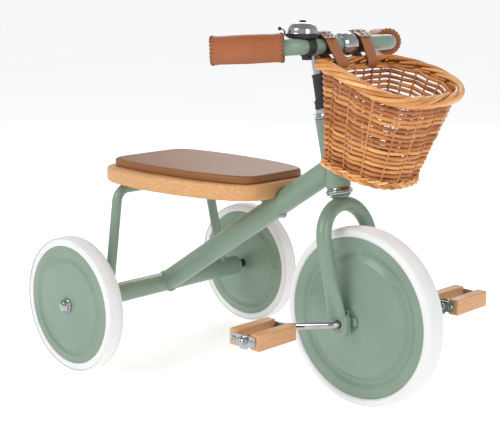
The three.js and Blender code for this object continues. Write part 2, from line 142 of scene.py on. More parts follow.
# ---- Powder-coated steel frame ----
# Round steel tube, mitred and welded: rear axle beam, rising main tube, leaning head tube and the bent hoop
# that carries the back of the seat. Everything is sprayed together in one satin sage green powder coat.
mm = 0.001


def middle_of(node):
    """The middle of a CAD node's box."""
    low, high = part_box(node)
    return (np.array(low) + np.array(high)) / 2


def unit(v):
    """v, or each row of v, divided by its length."""
    v = np.asarray(v, float)
    return v / np.linalg.norm(v, axis=-1, keepdims=True)


def rounded(points, radius, steps=6):
    """A path whose inner corners become arcs, each swung about its own centre, radius away from both
    sides."""
    p = np.asarray(points, float)
    back, on = unit(p[:-2] - p[1:-1]), unit(p[2:] - p[1:-1])
    half = np.arccos(np.clip((back * on).sum(1), -1, 1))[:, None] / 2
    centre = p[1:-1] + unit(back + on) * radius / np.sin(half)
    start = p[1:-1] + back * radius / np.tan(half) - centre
    end = p[1:-1] + on * radius / np.tan(half) - centre
    span = (np.pi - 2 * half)[:, None]
    share = np.linspace(0, 1, steps + 1)[None, :, None]
    arcs = (start[:, None] * np.sin((1 - share) * span) + end[:, None] * np.sin(share * span)) / np.sin(span)
    return np.concatenate([p[:1], (arcs + centre[:, None]).reshape(-1, p.shape[1]), p[-1:]])


def rounded_loop(points, radius, steps=4):
    """A closed outline with all its corners turned into arcs."""
    p = np.asarray(points, float)
    return rounded(np.concatenate([p[-1:], p, p[:1]]), radius, steps)[1:-1]


def evenly(points, count, closed=False):
    """The same line as count points a constant distance apart, found by measuring along it."""
    p = np.concatenate([points, points[:1]]) if closed else np.asarray(points, float)
    run = np.concatenate([[0], np.cumsum(np.linalg.norm(np.diff(p, axis=0), axis=1))])
    at = np.linspace(0, run[-1], count, endpoint=not closed)
    return np.stack([np.interp(at, run, p[:, k]) for k in range(p.shape[1])], 1)


def circle(radius, sides):
    """A round section: sides points on a circle."""
    turn = (np.arange(sides) + 0.5) * 2 * np.pi / sides
    return radius * np.stack([np.cos(turn), np.sin(turn)], 1)


def headings(path, loop=False):
    """The direction of a path at each point: from the point before to the point after."""
    if loop:
        return unit(np.roll(path, -1, 0) - np.roll(path, 1, 0))
    return unit(np.concatenate([path[1:2] - path[:1], path[2:] - path[:-2], path[-1:] - path[-2:-1]]))


def carried(path, section, side, loop=False):
    """Rings of a section carried along a path. The section's first axis is side, laid square to the path."""
    path = np.asarray(path, float)
    ahead = headings(path, loop)
    side = np.broadcast_to(np.asarray(side, float), path.shape)
    first = unit(side - (side * ahead).sum(1, keepdims=True) * ahead)
    second = np.cross(ahead, first)
    section = np.broadcast_to(section, (len(path), *np.shape(section)[-2:]))
    return path[:, None] + section[..., :1] * first[:, None] + section[..., 1:] * second[:, None]


def turned(profile, origin, axis, sides=96):
    """Rings of a lathe shape: each (radius, distance) of the profile is swung round the axis."""
    profile, axis = np.asarray(profile, float), unit(axis)
    side = unit(np.cross(axis, [1, 0, 0] if abs(axis[2]) > 0.9 else [0, 0, 1]))
    turn = np.arange(sides) * 2 * np.pi / sides
    spoke = np.cos(turn)[:, None] * side + np.sin(turn)[:, None] * np.cross(axis, side)
    return np.asarray(origin) + profile[:, :1, None] * spoke + (profile[:, 1:] * axis)[:, None]


def skin(rings, loop=False):
    """A closed skin: quads between neighbouring rings, then a fan on each end, or the last ring back to the
    first. The faces are turned to point outwards, by the sign of the enclosed volume."""
    count, sides = rings.shape[:2]
    index = np.arange(count * sides).reshape(count, sides)
    low, high = (index, np.roll(index, -1, 0)) if loop else (index[:-1], index[1:])
    quads = np.stack([low, np.roll(low, -1, 1), np.roll(high, -1, 1), high], -1).reshape(-1, 4)
    points, fans = rings.reshape(-1, 3), np.zeros((0, 3), int)
    if not loop:
        first, last = index[0], index[-1]
        tips = [np.full(sides, count * sides), np.full(sides, count * sides + 1)]
        fans = np.concatenate([
            np.stack([np.roll(first, -1), first, tips[0]], -1),
            np.stack([last, np.roll(last, -1), tips[1]], -1),
        ])
        points = np.concatenate([points, rings[[0, -1]].mean(1)])
    corners = np.concatenate([quads[:, :3], quads[:, [0, 2, 3]], fans])
    a, b, c = (points[corners[:, k]] - points.mean(0) for k in range(3))
    if (a * np.cross(b, c)).sum() < 0:
        quads, fans = quads[:, ::-1], fans[:, ::-1]
    return points, quads, fans
def four_corners(left, right, low, high):
    """The corners of a rectangle, counted round."""
    return np.array([[left, low], [right, low], [right, high], [left, high]])


def turned_tube(corners, soft, origin, axis, sides=96, steps=4):
    """A hollow turned part: the corners (radius, distance) of its wall, in millimetres and softened by soft,
    swung round the axis and closed on themselves."""
    wall = np.array(corners) * mm
    if soft is not None:
        wall = rounded_loop(wall, np.asarray(soft) * mm, steps)
    return skin(turned(wall, origin, axis, sides), loop=True)
def piece(name, body, finish, skins, replaces=(), flow=None, sharp=38):
    """One mesh object from several skins, smooth except at edges sharper than the given angle. It rides on a
    body, stands for the CAD nodes in replaces, and flow gives each point a vector that its material can
    read."""
    starts = np.cumsum([0] + [len(s[0]) for s in skins])
    points = np.concatenate([s[0] for s in skins])
    quads = np.concatenate([s[1] + n for s, n in zip(skins, starts)])
    fans = np.concatenate([s[2] + n for s, n in zip(skins, starts)])
    corners = np.concatenate([quads.ravel(), fans.ravel()])
    begin = np.concatenate([np.arange(len(quads)) * 4, len(quads) * 4 + np.arange(len(fans)) * 3])
    mesh = bpy.data.meshes.new(name)
    mesh.vertices.add(len(points))
    mesh.vertices.foreach_set("co", points.astype(np.float32).ravel())
    mesh.loops.add(len(corners))
    mesh.loops.foreach_set("vertex_index", corners.astype(np.int32))
    mesh.polygons.add(len(begin))
    mesh.polygons.foreach_set("loop_start", begin.astype(np.int32))
    mesh.polygons.foreach_set("use_smooth", np.ones(len(begin), bool))
    mesh.update(calc_edges=True)
    mesh.set_sharp_from_angle(angle=math.radians(sharp))
    if flow is not None:
        numbers = mesh.attributes.new("flow", "FLOAT_VECTOR", "POINT")
        numbers.data.foreach_set("vector", flow.astype(np.float32).ravel())
    mesh.materials.append(finish)
    made = bpy.data.objects.new(name, mesh)
    bpy.context.scene.collection.objects.link(made)
    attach(made, body)
    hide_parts(*replaces)
    return made


def new_group(name, inputs, outputs):
    """An empty shader node group with float or vector sockets; gives its tree, its inputs and its outputs."""
    tree = bpy.data.node_groups.new(name, "ShaderNodeTree")
    for label, value in inputs:
        tree.interface.new_socket(label, in_out="INPUT", socket_type="NodeSocketFloat").default_value = value
    for label in outputs:
        tree.interface.new_socket(label, in_out="OUTPUT", socket_type="NodeSocketFloat")
    return tree, tree.nodes.new("NodeGroupInput").outputs, tree.nodes.new("NodeGroupOutput").inputs


def mottle_group():
    """Soft cloudy patches: noise on Object coordinates, stretched from its middle band to the range Low to
    High."""
    tree, given, out = new_group("mottle", [("Scale", 20), ("Detail", 3), ("Low", 0), ("High", 1)], ["Value"])
    where = put(tree, "TexCoord").outputs["Object"]
    noise = put(tree, "TexNoise", {"Vector": where, "Scale": given["Scale"], "Detail": given["Detail"]})
    spread = put(tree, "MapRange", {"Value": noise.outputs["Fac"], "From Min": 0.3, "From Max": 0.7,
                                    "To Min": given["Low"], "To Max": given["High"]})
    tree.links.new(spread.outputs["Result"], out["Value"])
    return tree


def grain_group():
    """A fine raised grain: small round cells and a finer noise added to them; Rough gives its height from 0
    to 1."""
    tree, given, out = new_group("grain", [("Scale", 800), ("Cells", 0.5)], ["Rough"])
    where = put(tree, "TexCoord").outputs["Object"]
    cells = put(tree, "TexVoronoi", {"Vector": where, "Scale": given["Scale"]}, feature="SMOOTH_F1")
    noise = put(tree, "TexNoise", {"Vector": where, "Scale": given["Scale"], "Detail": 4})
    mixed = put(tree, "Mix", {"Factor": given["Cells"], "A": noise.outputs["Fac"],
                              "B": cells.outputs["Distance"]})
    tree.links.new(mixed.outputs["Result"], out["Rough"])
    return tree


mottle, grain = mottle_group(), grain_group()


def patches(tree, **values):
    """The mottle group in a material, with its own values."""
    made = put(tree, "Group", node_tree=mottle)
    for key, value in values.items():
        made.inputs[key].default_value = value
    return made.outputs["Value"]


def rough_bump(tree, shader, scale, cells, strength, depth):
    """A Bump node fed by the grain group and linked to the shader's normal."""
    made = put(tree, "Group", node_tree=grain)
    made.inputs["Scale"].default_value = scale
    made.inputs["Cells"].default_value = cells
    bump = put(tree, "Bump", {"Height": made.outputs["Rough"], "Strength": strength, "Distance": depth})
    tree.links.new(bump.outputs["Normal"], shader.inputs["Normal"])


def clouded(name, deep, pale, cloud, gloss, bumps, uniform=()):
    """A material whose colour drifts in clouds from deep to pale, and its roughness on its own. cloud is the
    colour's scale and detail; gloss is the roughness's scale, detail, least and most; bumps are rough_bump's
    scale, cells, strength and depth; uniform maps the shader's own sockets to values."""
    material, tree, shader, where = plain_material(name)
    tone = patches(tree, Scale=cloud[0], Detail=cloud[1])
    tree.links.new(ramp(tree, tone, [(0, deep), (1, pale)]), shader.inputs["Base Color"])
    drift = patches(tree, Scale=gloss[0], Detail=gloss[1], Low=gloss[2], High=gloss[3])
    tree.links.new(drift, shader.inputs["Roughness"])
    rough_bump(tree, shader, *bumps)
    for key, value in dict(uniform).items():
        shader.inputs[key].default_value = value
    return material


def green_powder_coat(name):
    """Satin sage green powder: two close greens in clouds, a fine orange-peel, and a gloss that drifts a
    little."""
    return clouded(name, (0.186, 0.268, 0.200), (0.218, 0.306, 0.232), (9, 2), (26, 4, 0.29, 0.37),
                   (420, 0.6, 0.10, 0.25 * mm), {"Coat Weight": 0.12, "Coat Roughness": 0.25})


def strike(points, heading, foot, axis, radius):
    """Where lines from points along heading first meet a round tube; a line that misses ends beside its
    axis."""
    across = heading - heading @ axis * axis
    offset = points - foot - ((points - foot) @ axis)[:, None] * axis
    square, middle = across @ across, offset @ across
    root = np.sqrt(np.maximum(middle**2 - square * ((offset**2).sum(1) - radius**2), 0))
    return points + ((-middle - root) / square)[:, None] * heading


def weld_bead(edge, size, side):
    """A weld along a closed edge: a small round section whose size ripples along the seam."""
    count, ripples = 140, 28
    edge = evenly(edge, count, closed=True)
    swell = 1 + 0.10 * np.sin(np.arange(count) * 2 * np.pi * ripples / count)
    return skin(carried(edge, circle(size, 8) * swell[:, None, None], side, loop=True), loop=True)


green = green_powder_coat("green_powder_coat")
both_sides = (("right", -1), ("left", 1))
steering_joint = next(j for j in frame["joints"] if j["name"] == "steering_turn")
head_foot, head_axis = np.array(steering_joint["pos_m"]), unit(steering_joint["axis"])
rear = middle_of("axle_rod")
across = np.array([0.0, 1, 0])
up = np.array([0.0, 0, 1])
tube_radius, beam_radius, head_radius, hoop_radius = 19.7 * mm, 18.2 * mm, 20.5 * mm, 9 * mm
tube_rise = 0.646
uphill = unit([1, 0, tube_rise])
main_ring = turned([[tube_radius, 0]], rear + uphill * 0.25, uphill, 96)[0]
main_low = strike(main_ring, -uphill, rear, across, beam_radius)
main_high = strike(main_ring, uphill, head_foot, head_axis, head_radius)
sunk = 2 * mm * uphill
saddle_ahead = 266 * mm
saddle_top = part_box("seat_board")[0].z - 0.3 * mm
saddle_outline = rounded_loop(four_corners(-11, 11, -9, 9) * mm, 2 * mm)
saddle_path = np.array([[rear[0] + saddle_ahead, 0, saddle_top - 12 * mm],
                        [rear[0] + saddle_ahead, 0, saddle_top]])
bead = 2.3 * mm
piece("frame_main_tube", "frame", green, [
    skin(np.stack([main_low - sunk, main_low, main_ring, main_high, main_high + sunk])),
    skin(carried(saddle_path, saddle_outline, (1, 0, 0))),
    weld_bead(main_low + sunk / 4, bead, uphill),
    weld_bead(main_high - sunk / 4, bead, uphill),
], ["main_tube"])

head_length = 112.9 * mm
head_wall = four_corners(15, head_radius / mm, 0, head_length / mm)
piece("frame_head_tube", "frame", green, [turned_tube(head_wall, 1.2, head_foot, head_axis)],
      ["head_tube"])
beam_wall = four_corners(6.3, beam_radius / mm, -186, 186)
piece("frame_axle_beam", "frame", green, [turned_tube(beam_wall, 1.5, rear, across)],
      ["axle_beam"])

hoop_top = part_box("seat_hoop")[1].z - hoop_radius
hoop_left = np.array([[8 * mm, 146 * mm, rear[2]], [0, 112 * mm, hoop_top]]) + [rear[0] - 6 * mm, 0, 0]
hoop_right = hoop_left * [1, -1, 1]
hoop_path = rounded(np.concatenate([hoop_left, hoop_right[::-1]]), 26 * mm, 14)
hoop_skins = [skin(carried(hoop_path, circle(hoop_radius, 40), (1, 0, 0)))]
for foot, corner in (hoop_left, hoop_right):
    down = unit(foot - corner)
    leg_ring = turned([[hoop_radius, 0]], corner, down, 64)[0]
    hoop_skins.append(weld_bead(strike(leg_ring, down, rear, across, beam_radius) - 0.3 * mm * down,
                                1.8 * mm, down))
piece("frame_seat_hoop", "frame", green, hoop_skins, ["seat_hoop"])


# ---- Rear axle fittings ----
# A plated steel rod runs through the beam. Black nylon spacers keep the wheels off the beam, and a pressed,
# domed push nut caps each end of the rod.
def polished_chrome():
    """Bright plate over steel: pale grey metal, faint cloudy haze in the gloss, and the odd fine ripple."""
    return clouded("polished_chrome", (0.37, 0.375, 0.385), (0.47, 0.475, 0.48), (60, 3),
                   (140, 5, 0.06, 0.16), (220, 0.2, 0.05, 0.2 * mm), {"Metallic": 1})


def black_nylon():
    """Moulded black plastic: nearly black, slightly dusty in clouds, with a fine spark-eroded grain."""
    return clouded("black_nylon", (0.010, 0.010, 0.011), (0.022, 0.021, 0.021), (70, 4), (120, 3, 0.38, 0.55),
                   (1500, 0.7, 0.15, 0.15 * mm))


def turned_solid(corners, soft, origin, axis, sides=48, steps=3):
    """A solid turned part: the corners (radius, distance) of its outline, in millimetres, are softened by
    soft and swung round the axis."""
    outline = np.array(corners) * mm
    if soft:
        outline = rounded(outline, soft * mm, steps)
    return skin(turned(outline, origin, axis, sides))


chrome, nylon = polished_chrome(), black_nylon()
frame["nodes"]["axle_rod"].data.materials.clear()
frame["nodes"]["axle_rod"].data.materials.append(chrome)
wheel_y = 222 * mm
spacer_wall = [[6.3, 186.3], [10.5, 186.3], [8.5, 190], [8.5, 204.6], [6.3, 204.6]]
cap_outline = [[8, 0], [13, 0], [13, 2.2], [11.3, 2.8], [11.2, 6.2], [8.8, 10.4], [4.4, 12.8], [0.2, 13.2]]
for side, sign in both_sides:
    out = sign * across
    piece(f"rear_spacer_{side}", "frame", nylon,
          [turned_tube(spacer_wall, 0.8, rear, out, 48)], [f"spacer_{side}"])
    cap = turned_solid(cap_outline, 1.2, rear + out * (wheel_y + 17.4 * mm), out, 64)
    piece(f"rear_cap_nut_{side}", "frame", chrome, [cap], [f"hub_nut_{side}"])


# ---- Seat board ----
# A 28 mm plank of solid beech, sawn to a rounded wedge with its edges rolled over and clear lacquered. Its
# underside is grooved where the main tube passes, and one short bolt comes up through the tube.
def fine_wood(name, light, dark, pith, ring=3.4 * mm, ray=1.0, along=0):
    """Solid beech as rings of growth about a pith line, so that end grain shows as arcs and the long sides as
    lines: distance from the pith, warped by slow noise, drives fine bands; short dark rays lie along the
    grain. The grain runs along X or Y (0 or 1), and pith gives the point that its line goes through."""
    def stretched(least, most):
        return [least if axis == along else most for axis in range(3)]

    material, tree, shader, where = plain_material(name)
    slow = put(tree, "Mapping", {"Vector": where, "Scale": stretched(2.2, 9)})
    warp = put(tree, "TexNoise", {"Vector": slow.outputs["Vector"], "Scale": 1.6, "Detail": 3})
    moved = put(tree, "Mapping", {"Vector": where, "Location": [-p for p in pith], "Scale": stretched(0, 1)})
    far = put(tree, "VectorMath", {0: moved.outputs["Vector"]}, operation="LENGTH")
    bent = put(tree, "Math", {0: warp.outputs["Fac"], 1: 0.009, 2: far.outputs["Value"]},
               operation="MULTIPLY_ADD")
    bands = put(tree, "Math", {0: bent.outputs["Value"], 1: 2 * math.pi / ring}, operation="MULTIPLY")
    wave = put(tree, "Math", {0: bands.outputs["Value"]}, operation="SINE")
    long = put(tree, "Mapping", {"Vector": where, "Scale": stretched(22, 420)})
    fibre = put(tree, "TexNoise", {"Vector": long.outputs["Vector"], "Scale": 1, "Detail": 4})
    fleck = put(tree, "Mapping", {"Vector": where, "Scale": stretched(150, 900)})
    short = put(tree, "TexNoise", {"Vector": fleck.outputs["Vector"], "Scale": 1, "Detail": 1})
    rays = put(tree, "MapRange", {"Value": short.outputs["Fac"], "From Min": 0.60, "From Max": 0.72})
    tone = put(tree, "Math", {0: wave.outputs["Value"], 1: 0.09, 2: fibre.outputs["Fac"]},
               operation="MULTIPLY_ADD")
    body = ramp(tree, tone.outputs["Value"], [(0.25, dark), (0.72, light)])
    flecked = put(tree, "Mix", {"Factor": rays.outputs["Result"], "A": body}, data_type="RGBA",
                  blend_type="MULTIPLY")
    flecked.inputs["B"].default_value = (1 - 0.32 * ray, 1 - 0.40 * ray, 1 - 0.48 * ray, 1)
    tree.links.new(flecked.outputs["Result"], shader.inputs["Base Color"])
    tree.links.new(patches(tree, Scale=30, Detail=4, Low=0.38, High=0.52), shader.inputs["Roughness"])
    bump = put(tree, "Bump", {"Height": tone.outputs["Value"], "Strength": 0.18, "Distance": 0.3 * mm})
    tree.links.new(bump.outputs["Normal"], shader.inputs["Normal"])
    return material


def seat_outline(node, wide, square, inset, count):
    """A rounded wedge seen from above: half widths w0 + w1 u + w2 u squared at u along its length, with a
    superellipse exponent for the corners in each direction, evenly pointed."""
    low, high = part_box(node)
    turn = (np.arange(6000) + 0.5) * 2 * np.pi / 6000
    c, s = np.cos(turn), np.sin(turn)
    u = np.sign(c) * np.abs(c) ** square[0]
    half = np.sign(s) * np.abs(s) ** square[1] * (wide[0] + wide[1] * u + wide[2] * u * u - inset)
    x = (low.x + high.x) / 2 + ((high.x - low.x) / 2 - inset) * u
    return evenly(np.stack([x, half], 1), count, closed=True)


def slab(node, wide, square, top, bottom, count, fill):
    """Rings of a slab, from the middle of its underside, round its edge, to the middle of its top. top and
    bottom are the radii of its edges, and fill the shares of the outline at which the two faces have
    rings."""
    low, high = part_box(node)
    quarter = np.linspace(0, np.pi / 2, 7)
    edge = [(bottom * (1 - np.sin(a)), low.z + bottom * (1 - np.cos(a))) for a in quarter]
    edge += [(top * (1 - np.cos(a)), high.z - top * (1 - np.sin(a))) for a in quarter]
    around = [np.c_[seat_outline(node, wide, square, inset, count), np.full(count, z)] for inset, z in edge]
    heart = np.array([(low.x + high.x) / 2, 0, 0])
    under = [heart + (around[0] - heart) * [k, k, 1] for k in fill]
    over = [heart + (around[-1] - heart) * [k, k, 1] for k in fill[::-1]]
    return np.stack(under + around + over)


board_wide = (123 * mm, -13.3 * mm, -32 * mm)
board_fill = np.concatenate([[0.02], np.linspace(0.15, 0.8, 5), np.linspace(0.85, 0.995, 22)])
board = slab("seat_board", board_wide, (0.24, 0.30), 5.5 * mm, 5 * mm, 460, board_fill)
groove_radius = tube_radius + 0.8 * mm
reach = np.sqrt(np.maximum(groove_radius**2 - board[..., 1] ** 2, 0)) * math.hypot(1, tube_rise)
groove = rear[2] + tube_rise * (board[..., 0] - rear[0]) + reach
board[..., 2] = np.where(np.abs(board[..., 1]) < groove_radius, np.maximum(board[..., 2], groove),
                         board[..., 2])
beech = fine_wood("beech_board", (0.72, 0.395, 0.172), (0.58, 0.295, 0.115), (0, 0.03, 0.24))
piece("seat_plank", "frame", beech, [skin(board)], ["seat_board"])

bolt_ahead = 291 * mm
bolt_down = unit([tube_rise, 0, -1])
bolt_top = rear + uphill * bolt_ahead / uphill[0] + bolt_down * (tube_radius - 0.5 * mm)
bolt_head = [[7.6, 0], [7.6, 1.2], [6, 1.3], [6, 2.4], [4.6, 4.6], [2.6, 5.3], [2.4, 3.4], [0.2, 3.4]]
piece("seat_bolt_head", "frame", chrome, [turned_solid(bolt_head, 0.25, bolt_top, bolt_down)],
      ["seat_bolt"])


# ---- Seat pad ----
# Firm foam under a smooth tan leatherette, stretched over a thin base and pulled tight underneath, so that
# the top crowns a little and the edge rolls over in a small, even radius. It is glued down on the board.
def leatherette(name, deep, pale, cells, depth, low, high):
    """Smooth artificial leather: two close browns in clouds, a gloss between low and high, and a pebble
    grain."""
    return clouded(name, deep, pale, (16, 5), (38, 4, low, high), (cells, 0.85, depth, 0.3 * mm))


def inflate(made, pressure, cap, frames=20, passes=60):
    """Swells a closed mesh as cloth under inner pressure with gravity off. Each point's shift is held within
    cap, shared out with its neighbours until it is smooth, and kept above the board."""
    start = np.array([v.co for v in made.data.vertices])
    edges = np.array([e.vertices[:] for e in made.data.edges])
    cloth = made.modifiers.new("cloth", "CLOTH")
    cloth.settings.use_pressure = True
    cloth.settings.uniform_pressure_force = pressure
    cloth.settings.effector_weights.gravity = 0
    cloth.settings.quality = 4
    for tick in range(1, frames + 1):
        bpy.context.scene.frame_set(tick)
    shown = made.evaluated_get(bpy.context.evaluated_depsgraph_get())
    end = np.array([v.co for v in shown.data.vertices])
    made.modifiers.remove(cloth)
    bpy.context.scene.frame_set(1)
    moved = end - start
    length = np.linalg.norm(moved, axis=1, keepdims=True)
    moved *= np.minimum(1, cap / np.maximum(length, 1e-9))
    shares = np.bincount(edges.ravel(), minlength=len(start))[:, None]
    for smoothing in range(passes):
        total = np.zeros_like(moved)
        np.add.at(total, edges[:, 0], moved[edges[:, 1]])
        np.add.at(total, edges[:, 1], moved[edges[:, 0]])
        moved = (moved + total / shares) / 2
    end = start + moved
    end[:, 2] = np.maximum(end[:, 2], start[:, 2].min())
    made.data.vertices.foreach_set("co", end.astype(np.float32).ravel())
    made.data.update()


pad_wide = (105.2 * mm, -7.6 * mm, -24 * mm)
pad_fill = np.concatenate([[0.05], np.linspace(0.16, 0.97, 11)])
pad = slab("seat_pad", pad_wide, (0.17, 0.22), 4.6 * mm, 2.6 * mm, 180, pad_fill)
pad_leather = leatherette("pad_leatherette", (0.250, 0.090, 0.022), (0.262, 0.096, 0.025),
                          520, 0.06, 0.46, 0.50)
cushion = piece("seat_cushion", "frame", pad_leather, [skin(pad)], ["seat_pad"], sharp=80)
inflate(cushion, 3.0, 2.2 * mm)
smoother = cushion.modifiers.new("smoother", "SUBSURF")
smoother.levels = smoother.render_levels = 1


# ---- Wheels ----
# Each wheel is a ring of white foam rubber round two pressed steel discs, riveted back to back and painted
# green. A disc has a flat outer band, a sunk ring crossed by eight short raised dashes, and a cone that rises
# to the hub.
def white_rubber():
    """White foam rubber: off-white, a little greyer in clouds, matte, with a very fine skin grain."""
    return clouded("white_rubber", (0.745, 0.745, 0.740), (0.80, 0.80, 0.795), (14, 5), (55, 3, 0.50, 0.64),
                   (900, 0.5, 0.12, 0.2 * mm))


def tyre(radius, half, disc, face):
    """A tyre's section as a closed loop, from millimetres: low crown, round shoulders, bead over the disc,
    with a shallow line on each side of the tread and one on each wall, cut as bell curves."""
    side = [[disc + 0.4, face + 0.9], [disc + 3, half - 0.4], [radius - 4, half * 0.84], [radius, 0]]
    bead = [[disc + 0.4, -face + 2.8], [disc - 7, -face + 2.8], [disc - 7, face - 2.8],
            [disc + 0.4, face - 2.8]]
    loop = np.array(side + [[a, -b] for a, b in side[-2::-1]] + bead)
    corner_radii = np.array([0.6, 4, 7, 50, 7, 4, 0.6, 1, 1, 1, 1])[:, None]
    soft = evenly(rounded_loop(loop, corner_radii, 8), 150, closed=True)
    tread = np.abs(np.abs(soft[:, 1]) - half * 0.42)
    soft[:, 0] -= 0.45 * np.exp(-(tread / 0.6) ** 2) * (soft[:, 0] > radius - 12)
    lost = radius - soft[:, 0].max()
    soft[:, 0] += lost * np.clip((soft[:, 0] - disc) / (radius - disc), 0, 1)
    wall = np.abs(soft[:, 0] - (disc + 7))
    soft[:, 1] -= np.sign(soft[:, 1]) * 0.35 * np.exp(-(wall / 0.7) ** 2) * (np.abs(soft[:, 1]) > face)
    return soft * mm


def pressed_disc(corners, radii, bore, dash, hub, axis):
    """A sheet disc about its axis, from millimetres: the outer face's corners softened, a 2.2 mm wall behind,
    and eight short dashes raised as bell curves in radius and in distance round the disc."""
    count, sides, dashes = 90, 320, 8
    face = rounded(corners, np.array(radii)[:, None], 5)
    back = face[:-1][::-1] - [0, 2.2]
    profile = np.concatenate([evenly(face, count), [[bore, 0.3], [12, 0.3]], back])
    turn = np.arange(sides) * 2 * np.pi / sides
    near = ((turn * dashes + np.pi) % (2 * np.pi) - np.pi) / dashes
    bell = np.exp(-((profile[:count, 0] - dash) / 5) ** 2)[:, None] * np.exp(-(near * dash / 2.2) ** 2)
    rings = turned(profile * mm, hub, axis, sides)
    rings[:count] += 1.7 * mm * bell[..., None] * unit(axis)
    return skin(rings, loop=True)


rubber = white_rubber()
green_shell = green_powder_coat("green_disc_coat")
front = middle_of("front_wheel_tyre")
rear_face = [[105.9, 13.5], [94, 13.8], [88.5, 10.9], [83, 11.2], [76, 14.0], [24, 16.6], [6.1, 16.9]]
front_face = [[133.5, 17.4], [117, 17.0], [110, 13.4], [104.5, 13.8], [97, 19.4], [34, 36], [24, 39.5],
              [5.8, 40]]
for side, sign in both_sides:
    hub = rear + sign * wheel_y * across
    body = f"rear_wheel_{side}"
    ring = skin(turned(tyre(121.9, 16, 105.9, 13.6), hub, across, 160), loop=True)
    piece(f"{body}_rubber", body, rubber, [ring], [f"{body}_tyre"])
    for face, way in both_sides:
        disc = pressed_disc(rear_face, [3, 2, 2, 2, 8], 6.1, 86, hub, way * across)
        piece(f"{body}_pressing_{face}", body, green_shell, [disc], [f"{body}_disc_{face}"])
ring = skin(turned(tyre(150, 22, 133.5, 17.4), front, across, 180), loop=True)
piece("front_wheel_rubber", "front_wheel", rubber, [ring], ["front_wheel_tyre"])
for side, sign in both_sides:
    disc = pressed_disc(front_face, [3, 2, 2, 3, 9, 5], 5.8, 108, front, sign * across)
    piece(f"front_wheel_pressing_{side}", "front_wheel", green_shell, [disc],
          [f"front_wheel_disc_{side}"])


# ---- Cranks ----
# An 11 mm plated steel rod is the front axle, and each end of it is bent twice into a crank whose outer end
# is the pedal's spindle. A painted hub flange with four round ears drives the disc; a domed nut keeps the
# pedal on.
crank_radius = 5.5 * mm
pedal_pin = {}
ear_turn = np.arange(192) * 2 * np.pi / 192
ears = 17 + 5.5 * np.cos(4 * ear_turn - 0.6) - 1.6 * np.cos(8 * ear_turn - 1.2)
levels = np.array([[0.7, 40.3], [0.15, 40.6], [0, 41], [0, 43.2], [0.2, 43.8], [0.8, 44.2], [5, 44.4],
                   [12, 44.5]])
spread = np.maximum(ears - levels[:, :1], 5.9)
flange = np.stack([spread * np.cos(ear_turn), 0 * spread, spread * np.sin(ear_turn)], -1)
rivet = [[2.6, 43.5], [2.5, 44.6], [1.7, 45.4], [0.2, 45.7]]
rivet_circle = 17.5 * mm
collar = [[5.4, 0], [8.2, 0], [8.6, 0.6], [8.6, 2.2], [8.0, 2.8], [5.4, 2.8]]
domed_nut = [[6.4, 207.7], [7.4, 207.7], [7.4, 209.2], [6.6, 209.6], [6.6, 213.2], [5.2, 216.2], [3, 217.4],
             [0.2, 217.7]]
for side, sign in both_sides:
    out = sign * across
    pedal_pin[side] = middle_of(f"pedal_{side}_plate_outer")
    parts = [skin(front + (flange + levels[:, 1:, None] * out) * mm)]
    for angle in (np.arange(4) + 0.1) * np.pi / 2:
        spot = front + np.array([math.cos(angle), 0, math.sin(angle)]) * rivet_circle
        parts.append(turned_solid(rivet, 0, spot, out, 24))
    piece(f"front_hub_flange_{side}", "front_wheel", green, parts, [f"hub_flange_{side}"])
    pin = np.array([pedal_pin[side][0], 0, pedal_pin[side][2]])
    bends = [front + 0.3 * mm * out, front + 72 * mm * out, pin + 103 * mm * out, pin + 212 * mm * out]
    piece(f"crank_rod_{side}", "front_wheel", chrome, [
        skin(carried(rounded(bends, 15 * mm, 12), circle(crank_radius, 32), up)),
        turned_tube(collar, None, pin + 112.4 * mm * out, out, 40),
        turned_solid(domed_nut, 0.5, pin, out),
    ], [f"crank_{side}"])


# ---- Pedals ----
# Two blocks of beech with eased edges stand fore and aft of the spindle, screwed between two plated steel end
# plates. The outer plate carries a stamped tongue under the nut, and a black dust cap closes the inner end.
def eased_box(middle, size, edge, ease=None):
    """A box that is long along Y, with all its edges rolled over by the radius edge, or its long ones by
    ease."""
    w, l, h = np.array(size) / 2
    swing = np.linspace(0, np.pi / 2, 5)
    ends = [(edge * (1 - np.sin(a)), -l + edge * (1 - np.cos(a))) for a in swing]
    rings = []
    for inset, y in ends + [(i, -y) for i, y in ends[::-1]]:
        a, b = w - inset, h - inset
        outline = rounded_loop(four_corners(-a, a, -b, b), ease or edge, 4)
        rings.append(np.stack([outline[:, 0], np.full(len(outline), y), outline[:, 1]], 1))
    return skin(np.array(middle) + np.stack(rings))


def flat_plate(outline, half_thick, edge, middle):
    """A plate square to Y from its outline in X and Z, with its two outer edges pulled in by the length
    edge."""
    flat = np.stack([outline[:, 0], 0 * outline[:, 0], outline[:, 1]], 1)
    small = 1 - edge / np.abs(outline).max()
    return skin(middle + np.stack([flat * k + [0, y * half_thick, 0]
                                   for k, y in ((small, -1), (1, -0.7), (1, 0.7), (small, 1))]))


